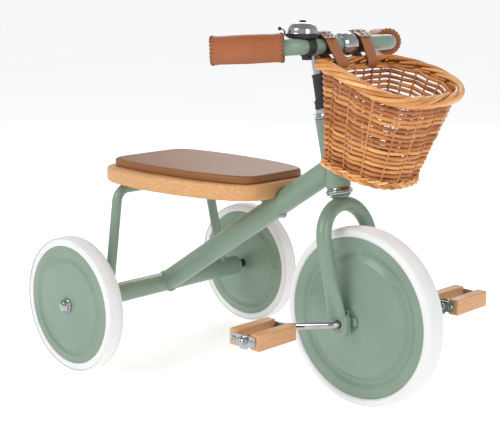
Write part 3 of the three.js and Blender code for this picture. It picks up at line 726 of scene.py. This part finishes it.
tongue = [[-26, 3], [-24, 8.6], [24, 8.6], [26, 3], [26, -5], [18, -9], [11, -9.4], [7, -14], [-7, -14],
          [-11, -9.4], [-18, -9], [-26, -5]]
plate_outline = rounded_loop(np.array(tongue) * mm, 2.2 * mm, 4)
plate_screw = [[4.4, 0.9], [4.4, 1.6], [3.6, 2.9], [2.2, 3.4], [2.0, 2.4], [0.2, 2.4]]
screw_ahead = 19.5 * mm
pin_washer = [[5.7, 0.9], [9, 0.9], [9, 1.7], [8.6, 2.1], [5.7, 2.1]]
cap_corners = np.array([[5.8, -1.6], [8.6, -1.6], [9.4, -0.6], [9.4, 8], [8, 10.5], [5.8, 10.5]])
cap_wall = rounded(cap_corners * mm, 0.6 * mm, 3)
block_size = (18 * mm, 86 * mm, 26 * mm)
for side, sign in both_sides:
    body = f"pedal_{side}"
    for place, way in (("front", 1), ("rear", -1)):
        block = middle_of(f"{body}_block_{place}")
        pith = (block[0] + way * 0.03, 0, block[2] - sign * 0.05)
        wood = fine_wood(f"beech_pedal_{side}_{place}", (0.69, 0.375, 0.185), (0.57, 0.29, 0.135), pith,
                         3.6 * mm, 0.8, along=1)
        piece(f"{body}_wood_{place}", body, wood, [eased_box(block, block_size, 1.3 * mm)],
              [f"{body}_block_{place}"])
    for end, way in (("inner", -1), ("outer", 1)):
        plate = middle_of(f"{body}_plate_{end}")
        out = sign * way * across
        parts = [flat_plate(plate_outline, 1 * mm, 0.3 * mm, plate)]
        for x in (-screw_ahead, screw_ahead):
            parts.append(turned_solid(plate_screw, 0.2, plate + [x, 0, 0], out, 32))
        parts.append(turned_tube(pin_washer, None, plate, out, 40))
        piece(f"{body}_end_plate_{end}", body, chrome, parts, [f"{body}_plate_{end}"])
    cap_foot = middle_of(f"{body}_plate_inner") + 2.6 * mm * sign * across
    cap = skin(turned(cap_wall, cap_foot, sign * across, 48), loop=True)
    piece(f"{body}_dust_cap", body, nylon, [cap])


# ---- Fork ----
# One steel tube bent into an arch, with its ends pressed flat where they meet the bearing housings. A short
# neck and the steerer are welded on top. A black bush in each housing holds the axle; its thin black ring is
# partly painted shade, standing in for the dark shadow ring round the axle.
def on_axis(height):
    """The point of the steering axis at that height."""
    return head_foot + head_axis * (height - head_foot[2]) / head_axis[2]


fork_half, arch_height, fork_radius = 57 * mm, 275 * mm, 12.5 * mm
pressed_length, pressed_wider, pressed_flatter = 62 * mm, 5.8 * mm, 4.6 * mm
fore = np.cross(across, head_axis)
fork_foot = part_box("fork")[0].z - 5 * mm
leg_heights = np.linspace(fork_foot, arch_height, 26)[:-1]
arch_turn = np.linspace(0, np.pi, 33)[:, None]
right_leg = np.stack([on_axis(z) for z in leg_heights]) - fork_half * across
arch = on_axis(arch_height) + fork_half * (np.sin(arch_turn) * head_axis - np.cos(arch_turn) * across)
left_leg = (right_leg * [1, -1, 1])[::-1]
fork_path = np.concatenate([right_leg, arch, left_leg])
press = np.clip((leg_heights - fork_foot) / pressed_length, 0, 1)
press = 1 - press * press * (3 - 2 * press)
press = np.concatenate([press, np.zeros(len(arch)), press[::-1]])[:, None]
ring = circle(1, 40)
fork_section = np.stack([ring[:, 0] * (fork_radius + pressed_wider * press),
                         ring[:, 1] * (fork_radius - pressed_flatter * press)], -1)
tip_share = np.array([0.25, 0.6, 0.85, 0.96])[:, None, None]
tip_step = np.array([3.4, 2.6, 1.5, 0.6])[:, None] * mm * head_axis
fork_path = np.concatenate([fork_path[0] - tip_step, fork_path, fork_path[-1] - tip_step[::-1]])
fork_section = np.concatenate([fork_section[:1] * tip_share, fork_section,
                               fork_section[-1:] * tip_share[::-1]])
neck = [[12, 0], [17.2, 4], [16.2, 9], [16, 13.8], [12.4, 14.2]]
neck_base = on_axis(arch_height) + head_axis * (fork_half + fork_radius - 3.2 * mm)
piece("fork_arch", "steering", green, [
    skin(carried(fork_path, fork_section, fore)),
    turned_solid(neck, 1.5, neck_base, head_axis, 64, 6),
    turned_solid([[12.7, 0], [12.7, 150]], 0, neck_base, head_axis),
], ["fork"])
bush_wall = four_corners(5.7, 6.9, -8.2, 8.2)
bush_seat = [[6.8, 6], [12.8, 6], [12.2, 8.6], [6.8, 8.8]]
stud = [[2.4, 6.8], [2.2, 8.2], [1.2, 9.0], [0.2, 9.2]]
for side, sign in both_sides:
    housing = middle_of(f"fork_end_{side}")
    out = sign * across
    axle_line = np.array([front[0], housing[1], front[2]])
    piece(f"fork_housing_{side}", "steering", green, [
        eased_box(housing, (31 * mm, 14.8 * mm, 33 * mm), 3.5 * mm, 8 * mm),
        turned_tube(bush_seat, 0.7, axle_line, out, 48),
        turned_solid(stud, 0, housing + [9 * mm, 0, 11.5 * mm], out, 24),
    ], [f"fork_end_{side}"])
    # The bush's thin black ring is partly painted shade: it also stands in for the shadow ring round the axle.
    piece(f"fork_bush_and_shade_{side}", "steering", nylon,
          [turned_tube(bush_wall, 0.8, axle_line, out, 40)])


# ---- Headset and stem ----
# Plated bearing cups are pressed into both ends of the head tube, over and under loose balls. A tabbed washer
# and a locknut close the top, and a black rubber boot covers the quill of the stem up to the bend.
def rubber_black():
    """Soft black rubber, matte and a touch grey, with a fine talc bloom."""
    return clouded("black_rubber", (0.012, 0.012, 0.013), (0.030, 0.030, 0.031), (45, 5), (90, 3, 0.55, 0.72),
                   (700, 0.4, 0.2, 0.2 * mm))


black_rubber = rubber_black()
head_gap = 0.3 * mm * head_axis
head_top = head_foot + head_axis * head_length + head_gap
under = head_foot - head_gap
lower_cup = [[13.2, 0], [19, 0], [19.6, 1.4], [21.2, 4.2], [22.6, 4.6], [23, 5.4], [23, 6.8], [22.4, 7.4],
             [13.2, 7.4]]
lower_race = [[13.2, 7.8], [21.4, 7.8], [22, 8.6], [21.6, 10.4], [18.4, 12.2], [13.2, 12.2]]
upper_cup = [[13.2, 0], [19.5, 0], [21.2, 1.2], [21.2, 3.2], [19, 5.4], [18, 8.4], [13.2, 8.4]]
for name, body, node, wall, base, way in (
        ("lower_bearing_cup", "frame", "lower_cup", lower_cup, under, -head_axis),
        ("upper_bearing_cup", "frame", "upper_cup", upper_cup, head_top, head_axis),
        ("crown_race", "steering", "lower_race", lower_race, under, -head_axis)):
    piece(name, body, chrome, [turned_tube(wall, 0.5, base, way, 72, 3)], [node])
nut_wall = [[13.2, 10.6], [17.4, 10.6], [17.4, 16.2], [16.2, 17], [13.2, 17]]
tab_middle = head_top + head_axis * 9.8 * mm + np.array([-19 * mm, 0, -4.5 * mm])
tab_corners = [[7, -6], [-4, -6], [-7, -3.5], [-7, 3.5], [-4, 6], [7, 6]]
tab_outline = rounded_loop(np.array(tab_corners) * mm, 1.2 * mm)
tab_flat = tab_middle + tab_outline[:, :1] * fore + tab_outline[:, 1:] * across
piece("tab_washer_and_locknut", "steering", chrome, [
    turned_tube(four_corners(13.2, 18.6, 8.8, 10.8), 0.4, head_top, head_axis, 64),
    turned_tube(nut_wall, 0.5, head_top, head_axis, 48),
    skin(np.stack([tab_flat - mm * head_axis, tab_flat + mm * head_axis])),
], ["locknut"])
boot_wall = [[11.4, 17.6], [16.6, 17.6], [17.2, 18.6], [17.2, 22], [16.4, 23], [16.4, 25.6], [17, 26.4],
             [16.8, 30.6], [14.4, 32.4], [14.0, 50], [13.6, 70.6], [14.4, 71.4], [14.3, 73], [11.4, 73]]
piece("stem_rubber_boot", "steering", black_rubber,
      [turned_tube(boot_wall, 0.35, head_top, head_axis, 64, 3)], ["stem_boot"])
bar_middle = middle_of("stem_clamp")
quill_low, quill_high = 0.488, 0.586
quill_path = rounded([on_axis(quill_low), on_axis(quill_high), bar_middle], 16 * mm, 12)
piece("stem_quill", "steering", chrome, [skin(carried(quill_path, circle(11 * mm, 40), across))],
      ["stem"])
barrel = [[12.8, -17], [14.2, -17], [15.4, -16], [18.0, -12], [19.4, -5], [19.4, 5], [18.0, 12], [15.4, 16],
          [14.2, 17], [12.8, 17]]
piece("stem_clamp_barrel", "steering", chrome, [turned_tube(barrel, 0.7, bar_middle, across, 72)],
      ["stem_clamp"])


# ---- Handlebar ----
# A level steel tube swept back at both ends, painted with the frame and gripped by the stem's barrel. Two
# black sleeves either side of the barrel stop the straps from sliding; their black is partly painted shade,
# standing in for the shadow under each strap.
bar_radius = 12.5 * mm
grip_line = {}
bar_ends = []
for side, sign in both_sides:
    inner = np.array([418.7, sign * 128.8, 586.8]) * mm + [rear[0], 0, 0]
    outer = np.array([335.2, sign * 201.6, 581.8]) * mm + [rear[0], 0, 0]
    grip_line[side] = (inner, outer)
    bar_ends.append([outer * 0.94 + inner * 0.06, [bar_middle[0], sign * 117.2 * mm, bar_middle[2]]])
bar_path = rounded(bar_ends[0] + bar_ends[1][::-1], 34 * mm, 14)
bar = skin(carried(bar_path, circle(bar_radius, 48), up))
piece("painted_handlebar", "steering", green, [bar], ["handlebar"])
sleeve_wall = [[12.7, -13], [14.2, -13], [14.2, -11.4], [13.9, -11], [13.9, 11], [14.2, 11.4], [14.2, 13],
               [12.7, 13]]
# Each sleeve's black rubber is partly painted shade: it also stands in for the shadow under its strap.
for side, sign in both_sides:
    sleeve = turned_tube(sleeve_wall, 0.3, middle_of(f"bar_sleeve_{side}"), across, 56, 3)
    piece(f"sleeve_and_shade_{side}", "steering", black_rubber, [sleeve],
          [f"bar_sleeve_{side}"])


# ---- Grips ----
# Foam tubes wrapped in tan leatherette. The wrap is folded over each end and whip-stitched through punched
# holes, so that both rims are scalloped and a short thread crosses every scallop.
def thread_material():
    """Waxed brown thread: dark brown with a lighter twist of fibres along it."""
    return clouded("waxed_thread", (0.16, 0.060, 0.028), (0.30, 0.125, 0.060), (600, 2), (300, 3, 0.45, 0.7),
                   (1500, 0.2, 0.3, 0.2 * mm))


tan = leatherette("tan_leatherette", (0.315, 0.090, 0.026), (0.355, 0.108, 0.034), 700, 0.20, 0.42, 0.54)
thread = thread_material()
stitches = 20
girth = 22.2
wrap = np.array([[12.8, 1.6], [15.2, 0.2], [18.6, 0.1], [20.4, 1.0], [20.9, 3], [21.1, 9], [20.6, 11],
                 [20.9, 30], [21.3, 55]])
wrap = wrap * [girth / wrap[-1, 0], 1] * mm
whip_stops = np.array([[21.2, 4.8], [22.3, 4.2], [22.2, 1.2], [20.6, -0.4], [17.0, -0.5], [16.4, 0.8]]) * mm
for side, sign in both_sides:
    inner, outer = grip_line[side]
    length = np.linalg.norm(outer - inner)
    way = unit(outer - inner)
    far = wrap[::-1] * [1, -1] + [0, length]
    closed_end = np.array([[15.2, -0.2], [9, 0.2], [1, 0.3]]) * mm + [0, length]
    profile = evenly(rounded(np.concatenate([wrap, far[1:-2], closed_end]), 0.5 * mm, 3), 150)
    rings = turned(profile, inner, way, 240)
    turn = np.arange(240) * 2 * np.pi / 240
    from_end = np.minimum(profile[:, 1], length - profile[:, 1])
    lobe = np.exp(-(np.maximum(from_end - 1 * mm, 0) / (2.2 * mm)) ** 2)
    lobe *= np.clip((profile[:, 0] - 14 * mm) / (5 * mm), 0, 1)
    centre_line = (inner + profile[:, 1:] * way)[:, None]
    swell = 1 + 0.030 * lobe[:, None] * (np.abs(np.cos(turn * stitches / 2)) - 0.6)
    rings = centre_line + (rings - centre_line) * swell[..., None]
    piece(f"grip_wrap_{side}", "steering", tan, [skin(rings)], [f"grip_{side}"], sharp=60)
    whips = []
    spoke_a = unit(np.cross(way, up))
    spoke_b = np.cross(way, spoke_a)
    shift = np.linspace(-1, 1, len(whip_stops))[:, None]
    for base, ahead in ((inner, way), (outer, -way)):
        for angle in (np.arange(stitches) + 0.5) * 2 * np.pi / stitches:
            spoke = math.cos(angle) * spoke_a + math.sin(angle) * spoke_b
            lean = np.cross(way, spoke) * 1.1 * mm
            whip = base + whip_stops[:, :1] * spoke + whip_stops[:, 1:] * ahead + shift * lean
            whips.append(skin(carried(rounded(whip, 0.5 * mm, 2), circle(0.62 * mm, 6), lean)))
    piece(f"grip_stitches_{side}", "steering", thread, whips, sharp=80)


# ---- Bell ----
# A chromed spun dome on a black moulded base, strapped to the bar. A dark cap screw holds the dome, and a
# sprung thumb lever with a ball end sticks out of the base.
bell_seat = middle_of("bell_dome")
bell_seat[2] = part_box("bell_dome")[0].z
dome_wall = [[2.9, 17.6], [8, 17.2], [14, 15.7], [19.4, 12.2], [22.6, 7.0], [23.5, 1.0], [23.9, 0.4],
             [23.9, -0.4], [22.5, -0.4], [21.4, 6.4], [18.4, 10.8], [13.2, 14.2], [7.6, 15.7], [2.9, 16.1]]
dome_soft = np.array([0.3, 6, 9, 9, 9, 3, 0.3, 0.4, 0.4, 8, 8, 8, 6, 0.3])[:, None]
bell_shell = turned_tube(dome_wall, dome_soft, bell_seat, up, 96, 7)
piece("bell_chrome_dome", "steering", chrome, [bell_shell], ["bell_dome"], sharp=50)
screw_cap = [[2.5, -2], [2.5, 17.4], [5.6, 17.4], [5.9, 18.2], [5.2, 19.4], [3, 20.2], [0.2, 20.4]]
piece("bell_cap_screw", "steering", nylon, [turned_solid(screw_cap, 0.3, bell_seat, up, 40)],
      ["bell_screw"])
band_middle = np.array([bar_middle[0], bell_seat[1], bar_middle[2]])
base_wall = [[3, -6.4], [12, -6.4], [18, -7.8], [23, -7.2], [24.4, -4.6], [24.2, -1.6], [25.2, -1],
             [25.2, 0.2], [3, 0.2]]
band_wall = [[12.7, -7.5], [15.4, -7.5], [15.9, -6.4], [15.9, 6.4], [15.4, 7.5], [12.7, 7.5]]
band_bolt = [[3.2, 0], [3.2, 3.4], [2.4, 4.2], [0.3, 4.3]]
piece("bell_base_and_band", "steering", nylon, [
    turned_tube(base_wall, 0.6, bell_seat, up, 72, 3),
    turned_tube(band_wall, 0.5, band_middle, across, 64),
    eased_box(band_middle + [-6 * mm, 0, 14 * mm], (16 * mm, 13 * mm, 8 * mm), 1.5 * mm),
    eased_box(band_middle + [0, 0, -17 * mm], (13 * mm, 11 * mm, 7 * mm), 1.6 * mm),
    turned_solid(band_bolt, 0, band_middle + [5 * mm, 0, -17 * mm], (1, 0, 0), 24),
], ["bell_clamp"])
lever_way = unit([-0.6, -0.8, 0])
lever_root = bell_seat + lever_way * 21 * mm - 3 * mm * up
lever_stops = np.array([[0, 0], [6.2, 0.2], [7.6, 8.4], [14.6, 10.6]]) * mm
lever_path = rounded(lever_root + lever_stops[:, :1] * lever_way + lever_stops[:, 1:] * up, 2.4 * mm, 5)
lever_width = np.interp(np.linspace(0, 1, len(lever_path)), [0, 0.4, 0.7, 1], [4.6, 3.4, 2.2, 2.0]) * mm
lever_section = circle(1, 24) * [1, 0.42] * lever_width[:, None, None]
ball = np.array([[0.4, -2.9], [1.6, -2.5], [2.6, -1.4], [2.95, 0], [2.6, 1.4], [1.6, 2.5], [0.4, 2.9]]) * mm
piece("bell_thumb_lever", "bell_lever", nylon, [
    skin(carried(lever_path, lever_section, np.cross(lever_way, up))),
    skin(turned(evenly(rounded(ball, 2.2 * mm, 4), 26), lever_path[-1], lever_way, 28)),
], ["bell_lever"])


# ---- Wicker basket ----
# Stripped willow, steamed and varnished: every round of rods passes in front of one upright and behind the
# next, on a woven base. Long rods are laid and slowly turned round the rim over a thin bound pair, and a
# plait covers the foot.
def varnished_willow():
    """Willow under clear varnish. Each rod's own tone, and slow noise along it, choose a colour from brown to
    straw; flow holds the distance along the rod, that tone, and the rod's number."""
    material, tree, shader, where = plain_material("varnished_willow")
    flow = put(tree, "Attribute", attribute_name="flow").outputs["Vector"]
    parts = put(tree, "SeparateXYZ", {"Vector": flow})
    stretch = put(tree, "Mapping", {"Vector": flow, "Scale": (18, 0, 7)})
    slow = put(tree, "TexNoise", {"Vector": stretch.outputs["Vector"], "Scale": 1, "Detail": 3})
    tone = put(tree, "Math", {0: slow.outputs["Fac"], 1: 0.9, 2: parts.outputs["Y"]},
               operation="MULTIPLY_ADD")
    share = put(tree, "Math", {0: tone.outputs["Value"], 1: 0.8}, operation="MULTIPLY")
    body = ramp(tree, share.outputs["Value"], [(0.224, (0.24, 0.060, 0.010)), (0.44, (0.47, 0.160, 0.033)),
                                               (0.68, (0.68, 0.295, 0.080)), (0.92, (0.84, 0.49, 0.19))])
    spots = put(tree, "TexVoronoi", {"Vector": where, "Scale": 75.0})
    knots = put(tree, "MapRange", {"Value": spots.outputs["Distance"], "From Min": 0.05, "From Max": 0.16,
                                   "To Min": 0.55, "To Max": 1.0})
    shade = put(tree, "Mix", {"Factor": 1.0, "A": body}, data_type="RGBA", blend_type="MULTIPLY")
    tree.links.new(knots.outputs["Result"], shade.inputs["B"])
    tree.links.new(shade.outputs["Result"], shader.inputs["Base Color"])
    tree.links.new(patches(tree, Scale=70, Detail=4, Low=0.30, High=0.50), shader.inputs["Roughness"])
    rough_bump(tree, shader, 900, 0.15, 0.25, 0.25 * mm)
    shader.inputs["Coat Weight"].default_value = 0.25
    shader.inputs["Coat Roughness"].default_value = 0.22
    return material


def basket_ring(plan, inset, lift, count):
    """A closed plan curve seen from above: a boxy back and a round front that flares and dips. plan gives its
    middle, reach, half width, flare, height, the front's fall and sag, and the exponent of its roundness."""
    back = 9 * mm
    turn = (np.arange(4000) + 0.5) * 2 * np.pi / 4000
    c, s = np.cos(turn), np.sin(turn)
    ahead = c > 0
    power = np.where(ahead, 2 / plan["round"], 2 / 5)
    u = np.abs(c) ** power
    x = np.where(ahead, (plan["reach"] - back - inset) * u, (inset - back) * u)
    y = np.sign(s) * np.abs(s) ** power * (plan["half"] - inset) * np.where(ahead, 1 + plan["flare"] * u, 1)
    fall = np.where(ahead, u, 0)
    z = plan["height"] - plan["fall"] * fall - plan["sag"] * fall**2 + lift
    return evenly(np.stack([plan["x"] + back + x, y, z], 1), count, closed=True)


def outward_of(ring):
    """At each point of a closed ring, the level direction square to it that points away from its middle."""
    side = unit(np.cross(headings(ring, loop=True), up))
    return side * np.sign(((ring - ring.mean(0)) * side).sum())


def rod(path, radius, side, tone, number, sides=8, loop=False, squash=1.0):
    """One willow rod: a round section, which squash flattens and whose radius may change along it. Its flow
    is the distance along the path, the rod's tone and its number."""
    radius = np.broadcast_to(radius, len(path))
    rings = carried(path, circle(1, sides) * [squash, 1] * radius[:, None, None], side, loop)
    run = np.concatenate([[0], np.cumsum(np.linalg.norm(np.diff(path, axis=0), axis=1))])
    run = np.repeat(run, sides)
    flow = np.stack([run, np.full(len(run), tone), np.full(len(run), number)], 1)
    if not loop:
        flow = np.concatenate([flow, flow[:1], flow[-1:]])
    return skin(rings, loop), flow


def rods_piece(name, rods, replaces=()):
    """Rods joined into one piece of willow, riding on the steering."""
    flow = np.concatenate([r[1] for r in rods])
    return piece(name, "steering", willow, [r[0] for r in rods], replaces, flow, 70)


willow = varnished_willow()
random = np.random.default_rng(11)
rim_high, foot_low, foot_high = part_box("basket_rim")[1], *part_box("basket_foot")
rim_plan = {"x": rim_high.x - 167.2 * mm, "reach": 158 * mm, "half": 85.2 * mm, "flare": 0.62,
            "height": rim_high.z - 9.2 * mm, "fall": 17.9 * mm, "sag": 32.9 * mm, "round": 3}
foot_plan = {"x": foot_high.x - 113.6 * mm, "reach": 110 * mm, "half": 76 * mm, "flare": 0.06,
             "height": foot_low.z + 37.0 * mm, "fall": 31 * mm, "sag": 0, "round": 2.6}
uprights, rows, around = 28, 17, 336
rim_radius = 9.6 * mm
wall_top = basket_ring(rim_plan, 6.6 * mm, -rim_radius + 3 * mm, around)
wall_foot = basket_ring(foot_plan, 5.0 * mm, 3 * mm, around)
outward = outward_of(wall_top)
lap = np.arange(around) * 2 * np.pi / around
weave = np.pi * np.arange(around) * uprights / around
weavers = []
for row in range(rows):
    share = (row + 0.7) / rows
    bow = 1.6 * mm * math.sin(math.pi * share)
    line = wall_foot * (1 - share) + wall_top * share + outward * bow
    phase = random.uniform(0, 2 * np.pi, 3)
    loose = 0.55 * np.sin(3 * lap + phase[0]) + 0.5 * np.sin(7 * lap + phase[1])
    depth = (0.8 + (2.7 + 0.4 * np.sin(4 * lap + phase[2])) * np.cos(weave)) * mm
    line = line + outward * depth[:, None] + up * (loose * 0.9 * mm)[:, None]
    thickness = (3.15 + 0.25 * np.sin(5 * lap + phase[2])) * mm
    weavers.append(rod(line, thickness, outward, random.uniform(-0.05, 0.55), row, loop=True, squash=0.80))
rods_piece("basket_weave", weavers, ["basket_body"])

posts = []
climb = np.linspace(-0.02, 1.0, 22)[:, None]
for k in range(uprights):
    place = k * around // uprights
    line = wall_foot[place] * (1 - climb) + wall_top[place] * climb
    line = line + outward[place] * (1.6 * np.sin(np.pi * climb) - 0.4) * mm
    posts.append(rod(line, 1.7 * mm, outward[place], random.uniform(0, 0.35), 100 + k))
for row in (0, 1):
    line = wall_top + outward * (3.4 + 1.5 * np.cos(weave + np.pi * row))[:, None] * mm
    line = line - up * (0.5 + 2.0 * np.sin(weave / 2 + np.pi * row) ** 2)[:, None] * mm
    posts.append(rod(line, 2.0 * mm, outward, random.uniform(0.05, 0.3), 200 + row, loop=True))
rods_piece("basket_uprights", posts)


def laid_rods(ring, span, count, swing, spread, radius, number, sides=8, points=34):
    """A border of rods, one starting at each upright: it runs along the ring for span uprights while it turns
    about the ring from the first to the second angle of swing at a distance spread, and it thins towards both
    ends."""
    side = outward_of(ring)
    top = np.cross(headings(ring, loop=True), side)
    top *= np.sign(top[:, 2:].sum())
    share = np.linspace(0, 1, points)
    stations = np.arange(len(ring) + 1)
    made = []
    for k in range(count):
        at = (k + random.uniform(-0.12, 0.12) + span * share) * len(ring) / count
        line, out, over = (np.stack([np.interp(at % len(ring), stations, column)
                                     for column in np.concatenate([v, v[:1]]).T], 1) for v in (ring, side, top))
        angle = np.radians(swing[0] + (swing[1] - swing[0]) * share + random.uniform(-5, 5))[:, None]
        away = spread * (1 + random.uniform(-0.05, 0.05))
        line = line + away * (np.cos(angle) * out + np.sin(angle) * over)
        thin = radius * (1 - 0.45 * np.abs(2 * share - 1) ** 4) * random.uniform(0.92, 1.06)
        made.append(rod(line, thin, out, random.uniform(0.15, 0.62), number + k, sides))
    return made


rim_ring = basket_ring(rim_plan, 0, 0, around)
rim_rods = laid_rods(rim_ring, 5.6, 20, (-150, 190), 6.3 * mm, 3.3 * mm, 300, 10, 80)
rods_piece("basket_rolled_rim", rim_rods, ["basket_rim"])
foot_ring = basket_ring(foot_plan, 2.4 * mm, -1.2 * mm, around)
plait = laid_rods(foot_ring, 2.5, uprights, (70, -200), 3.0 * mm, 2.7 * mm, 400, 8, 26)
plait += laid_rods(foot_ring + 4.2 * mm * up, 2.1, uprights, (-120, 90), 2.6 * mm, 2.2 * mm, 440, 8, 22)
rods_piece("basket_plaited_foot", plait, ["basket_foot"])

base_rods = []
base_hub = wall_foot.mean(0) - 2 * mm * up
for number, scale in enumerate(np.linspace(0.95, 0.10, 14)):
    spokes = uprights if scale > 0.5 else uprights // 2
    count = 8 * spokes
    line = base_hub + (evenly(wall_foot, count, closed=True) - 2 * mm * up - base_hub) * scale
    wave = np.cos(np.pi * (np.arange(count) * spokes / count + number))
    line = line + up * (2.4 * mm * wave)[:, None]
    base_rods.append(rod(line, 2.5 * mm, up, random.uniform(0.05, 0.45), 500 + number, 6, loop=True))
for k in range(uprights):
    start = wall_foot[k * around // uprights]
    short = 0.5 if k % 2 else 0.06
    line = start + (base_hub - start) * np.linspace(0, 1 - short, 10)[:, None]
    base_rods.append(rod(line, 1.6 * mm, up, random.uniform(0, 0.3), 600 + k, 6))
rods_piece("basket_woven_base", base_rods)


# ---- Straps ----
# Two tan belts hang the basket on the bar. Each goes round the bar's sleeve and the rim, through a plated
# buckle on top, and its pointed tail stands up behind a small keeper loop.
def strap_leather():
    """Tan belt leather, darker on its cut edges: flow's first number is 0 in the belt's middle and 1 at its
    edge."""
    material, tree, shader, where = plain_material("strap_leather")
    flow = put(tree, "Attribute", attribute_name="flow").outputs["Vector"]
    across_belt = put(tree, "SeparateXYZ", {"Vector": flow}).outputs["X"]
    edge = put(tree, "MapRange", {"Value": across_belt, "From Min": 0.90, "From Max": 1.0})
    cloud = patches(tree, Scale=34, Detail=5)
    face = ramp(tree, cloud, [(0, (0.41, 0.135, 0.038)), (1, (0.50, 0.180, 0.058))])
    cut = (0.12, 0.040, 0.018, 1)
    mixed = put(tree, "Mix", {"Factor": edge.outputs["Result"], "A": face, "B": cut}, data_type="RGBA")
    tree.links.new(mixed.outputs["Result"], shader.inputs["Base Color"])
    tree.links.new(patches(tree, Scale=60, Detail=4, Low=0.34, High=0.48), shader.inputs["Roughness"])
    rough_bump(tree, shader, 850, 0.8, 0.22, 0.25 * mm)
    return material


def belt(path, width, thick, side, loop):
    """A flat belt carried along a path, its width along side, with eased edges and, on an open one, a pointed
    end; gives its skin and flow numbers."""
    w, t = width / 2, thick / 2
    outline = rounded_loop(four_corners(-w, w, -t, t), 0.9 * mm, 3)
    taper = np.broadcast_to(outline, (len(path), *outline.shape)).copy()
    if not loop:
        share = np.linspace(0, 1, len(path))
        point = np.clip((share - 0.72) / 0.30, 0, 1) ** 2
        taper[..., 0] *= np.sqrt(np.clip(1 - point, 0.02, 1))[:, None]
    rings = carried(path, taper, side, loop)
    flow = np.zeros((rings.shape[0] * rings.shape[1], 3))
    flow[:, 0] = np.tile(np.abs(outline[:, 0]) / w, len(path))
    if not loop:
        flow = np.concatenate([flow, np.zeros((2, 3))])
    return skin(rings, loop), flow


def arc(centre, radius, start, end, count):
    """Points of an arc in X and Z round a centre."""
    angle = np.linspace(start, end, count)
    return np.stack([centre[0] + radius * np.cos(angle), centre[2] + radius * np.sin(angle)], 1)


def on_belt(low_y, slant, degrees, lift):
    """A point above the belt where it wraps the bar: an angle up from the front, and a height over its
    face."""
    r, angle = bar_loop + belt_thick / 2 + lift, math.radians(degrees)
    z = bar_line[2] + r * math.sin(angle)
    return np.array([bar_line[0] + r * math.cos(angle), low_y + slant * (z - rim_back[2]), z])


strap_hide = strap_leather()
belt_width, belt_thick = 25 * mm, 2.4 * mm
rim_back = np.array([rim_plan["x"], 0, rim_plan["height"]])
bar_line = bar_middle * [1, 0, 1]
bar_loop, rim_loop = 14.7 * mm + belt_thick / 2, rim_radius + 0.3 * mm + belt_thick / 2
apart = rim_back - bar_line
base = math.atan2(apart[2], apart[0])
half_open = math.acos((bar_loop - rim_loop) / np.linalg.norm(apart))
loop_xz = evenly(np.concatenate([
    arc(bar_line, bar_loop, base + half_open, base - half_open + 2 * np.pi, 60),
    arc(rim_back, rim_loop, base - half_open, base + half_open, 40),
]), 150, closed=True)
keeper_loop = rounded_loop(four_corners(-12.4, 12.4, -1.6, 4.4) * mm, 1.8 * mm, 5)
hole = [[1.7, -0.6], [1.7, 0.12], [1.2, 0.02], [0.1, -0.1]]
wire = rounded_loop(four_corners(-14, 14, -8.5, 8.5) * mm, 2.6 * mm, 5)
prong_stops = np.array([[0, -8.8, 0], [0, -4, 1.2], [0, 4, 1.5], [0, 9.4, 0.9]]) * mm
tail_lifts = ((52, 1.3), (80, 1.6), (104, 3.6), (128, 9))
for side, low_y, top_y in (("right", -39 * mm, -53 * mm), ("left", 37 * mm, 33 * mm)):
    slant = (top_y - low_y) / (16 * mm - apart[2])
    hang = (low_y, slant)
    loop_path = np.stack([loop_xz[:, 0], low_y + slant * (loop_xz[:, 1] - rim_back[2]), loop_xz[:, 1]], 1)
    tail_stops = [on_belt(*hang, angle, lift * mm) for angle, lift in tail_lifts]
    tail_path = evenly(rounded(tail_stops, 14 * mm, 6), 40)
    keeper_out = unit(on_belt(*hang, 100, 10 * mm) - on_belt(*hang, 100, 0))
    keeper_path = keeper_loop[:, :1] * across + keeper_loop[:, 1:] * keeper_out + on_belt(*hang, 100, 0.6 * mm)
    parts = [
        belt(loop_path, belt_width, belt_thick, across, True),
        belt(tail_path, belt_width * 0.84, 2.0 * mm, across, False),
        belt(keeper_path, 6.5 * mm, 1.5 * mm, np.cross(keeper_out, across), True),
    ]
    piece(f"leather_strap_{side}", "steering", strap_hide, [p[0] for p in parts],
          [f"strap_{side}"], np.concatenate([p[1] for p in parts]), 50)
    holes = []
    for angle in (14, 34):
        spot = on_belt(*hang, angle, 0)
        holes.append(turned_solid(hole, 0, spot, on_belt(*hang, angle, 5 * mm) - spot, 20))
    piece(f"strap_holes_{side}", "steering", nylon, holes)
    buckle_at = on_belt(*hang, 62, 1.9 * mm)
    buckle_out = unit(on_belt(*hang, 62, 9 * mm) - on_belt(*hang, 62, 0))
    buckle_ahead = np.cross(buckle_out, across)
    wire_path = buckle_at + wire[:, :1] * across + wire[:, 1:] * buckle_ahead
    prong = buckle_at + prong_stops @ np.stack([across, buckle_ahead, buckle_out])
    piece(f"plated_buckle_{side}", "steering", chrome, [
        skin(carried(wire_path, circle(1.45 * mm, 14), buckle_out, loop=True), loop=True),
        skin(carried(rounded(prong, 3 * mm, 4), circle(1.0 * mm, 12), across)),
    ], [f"buckle_{side}"])
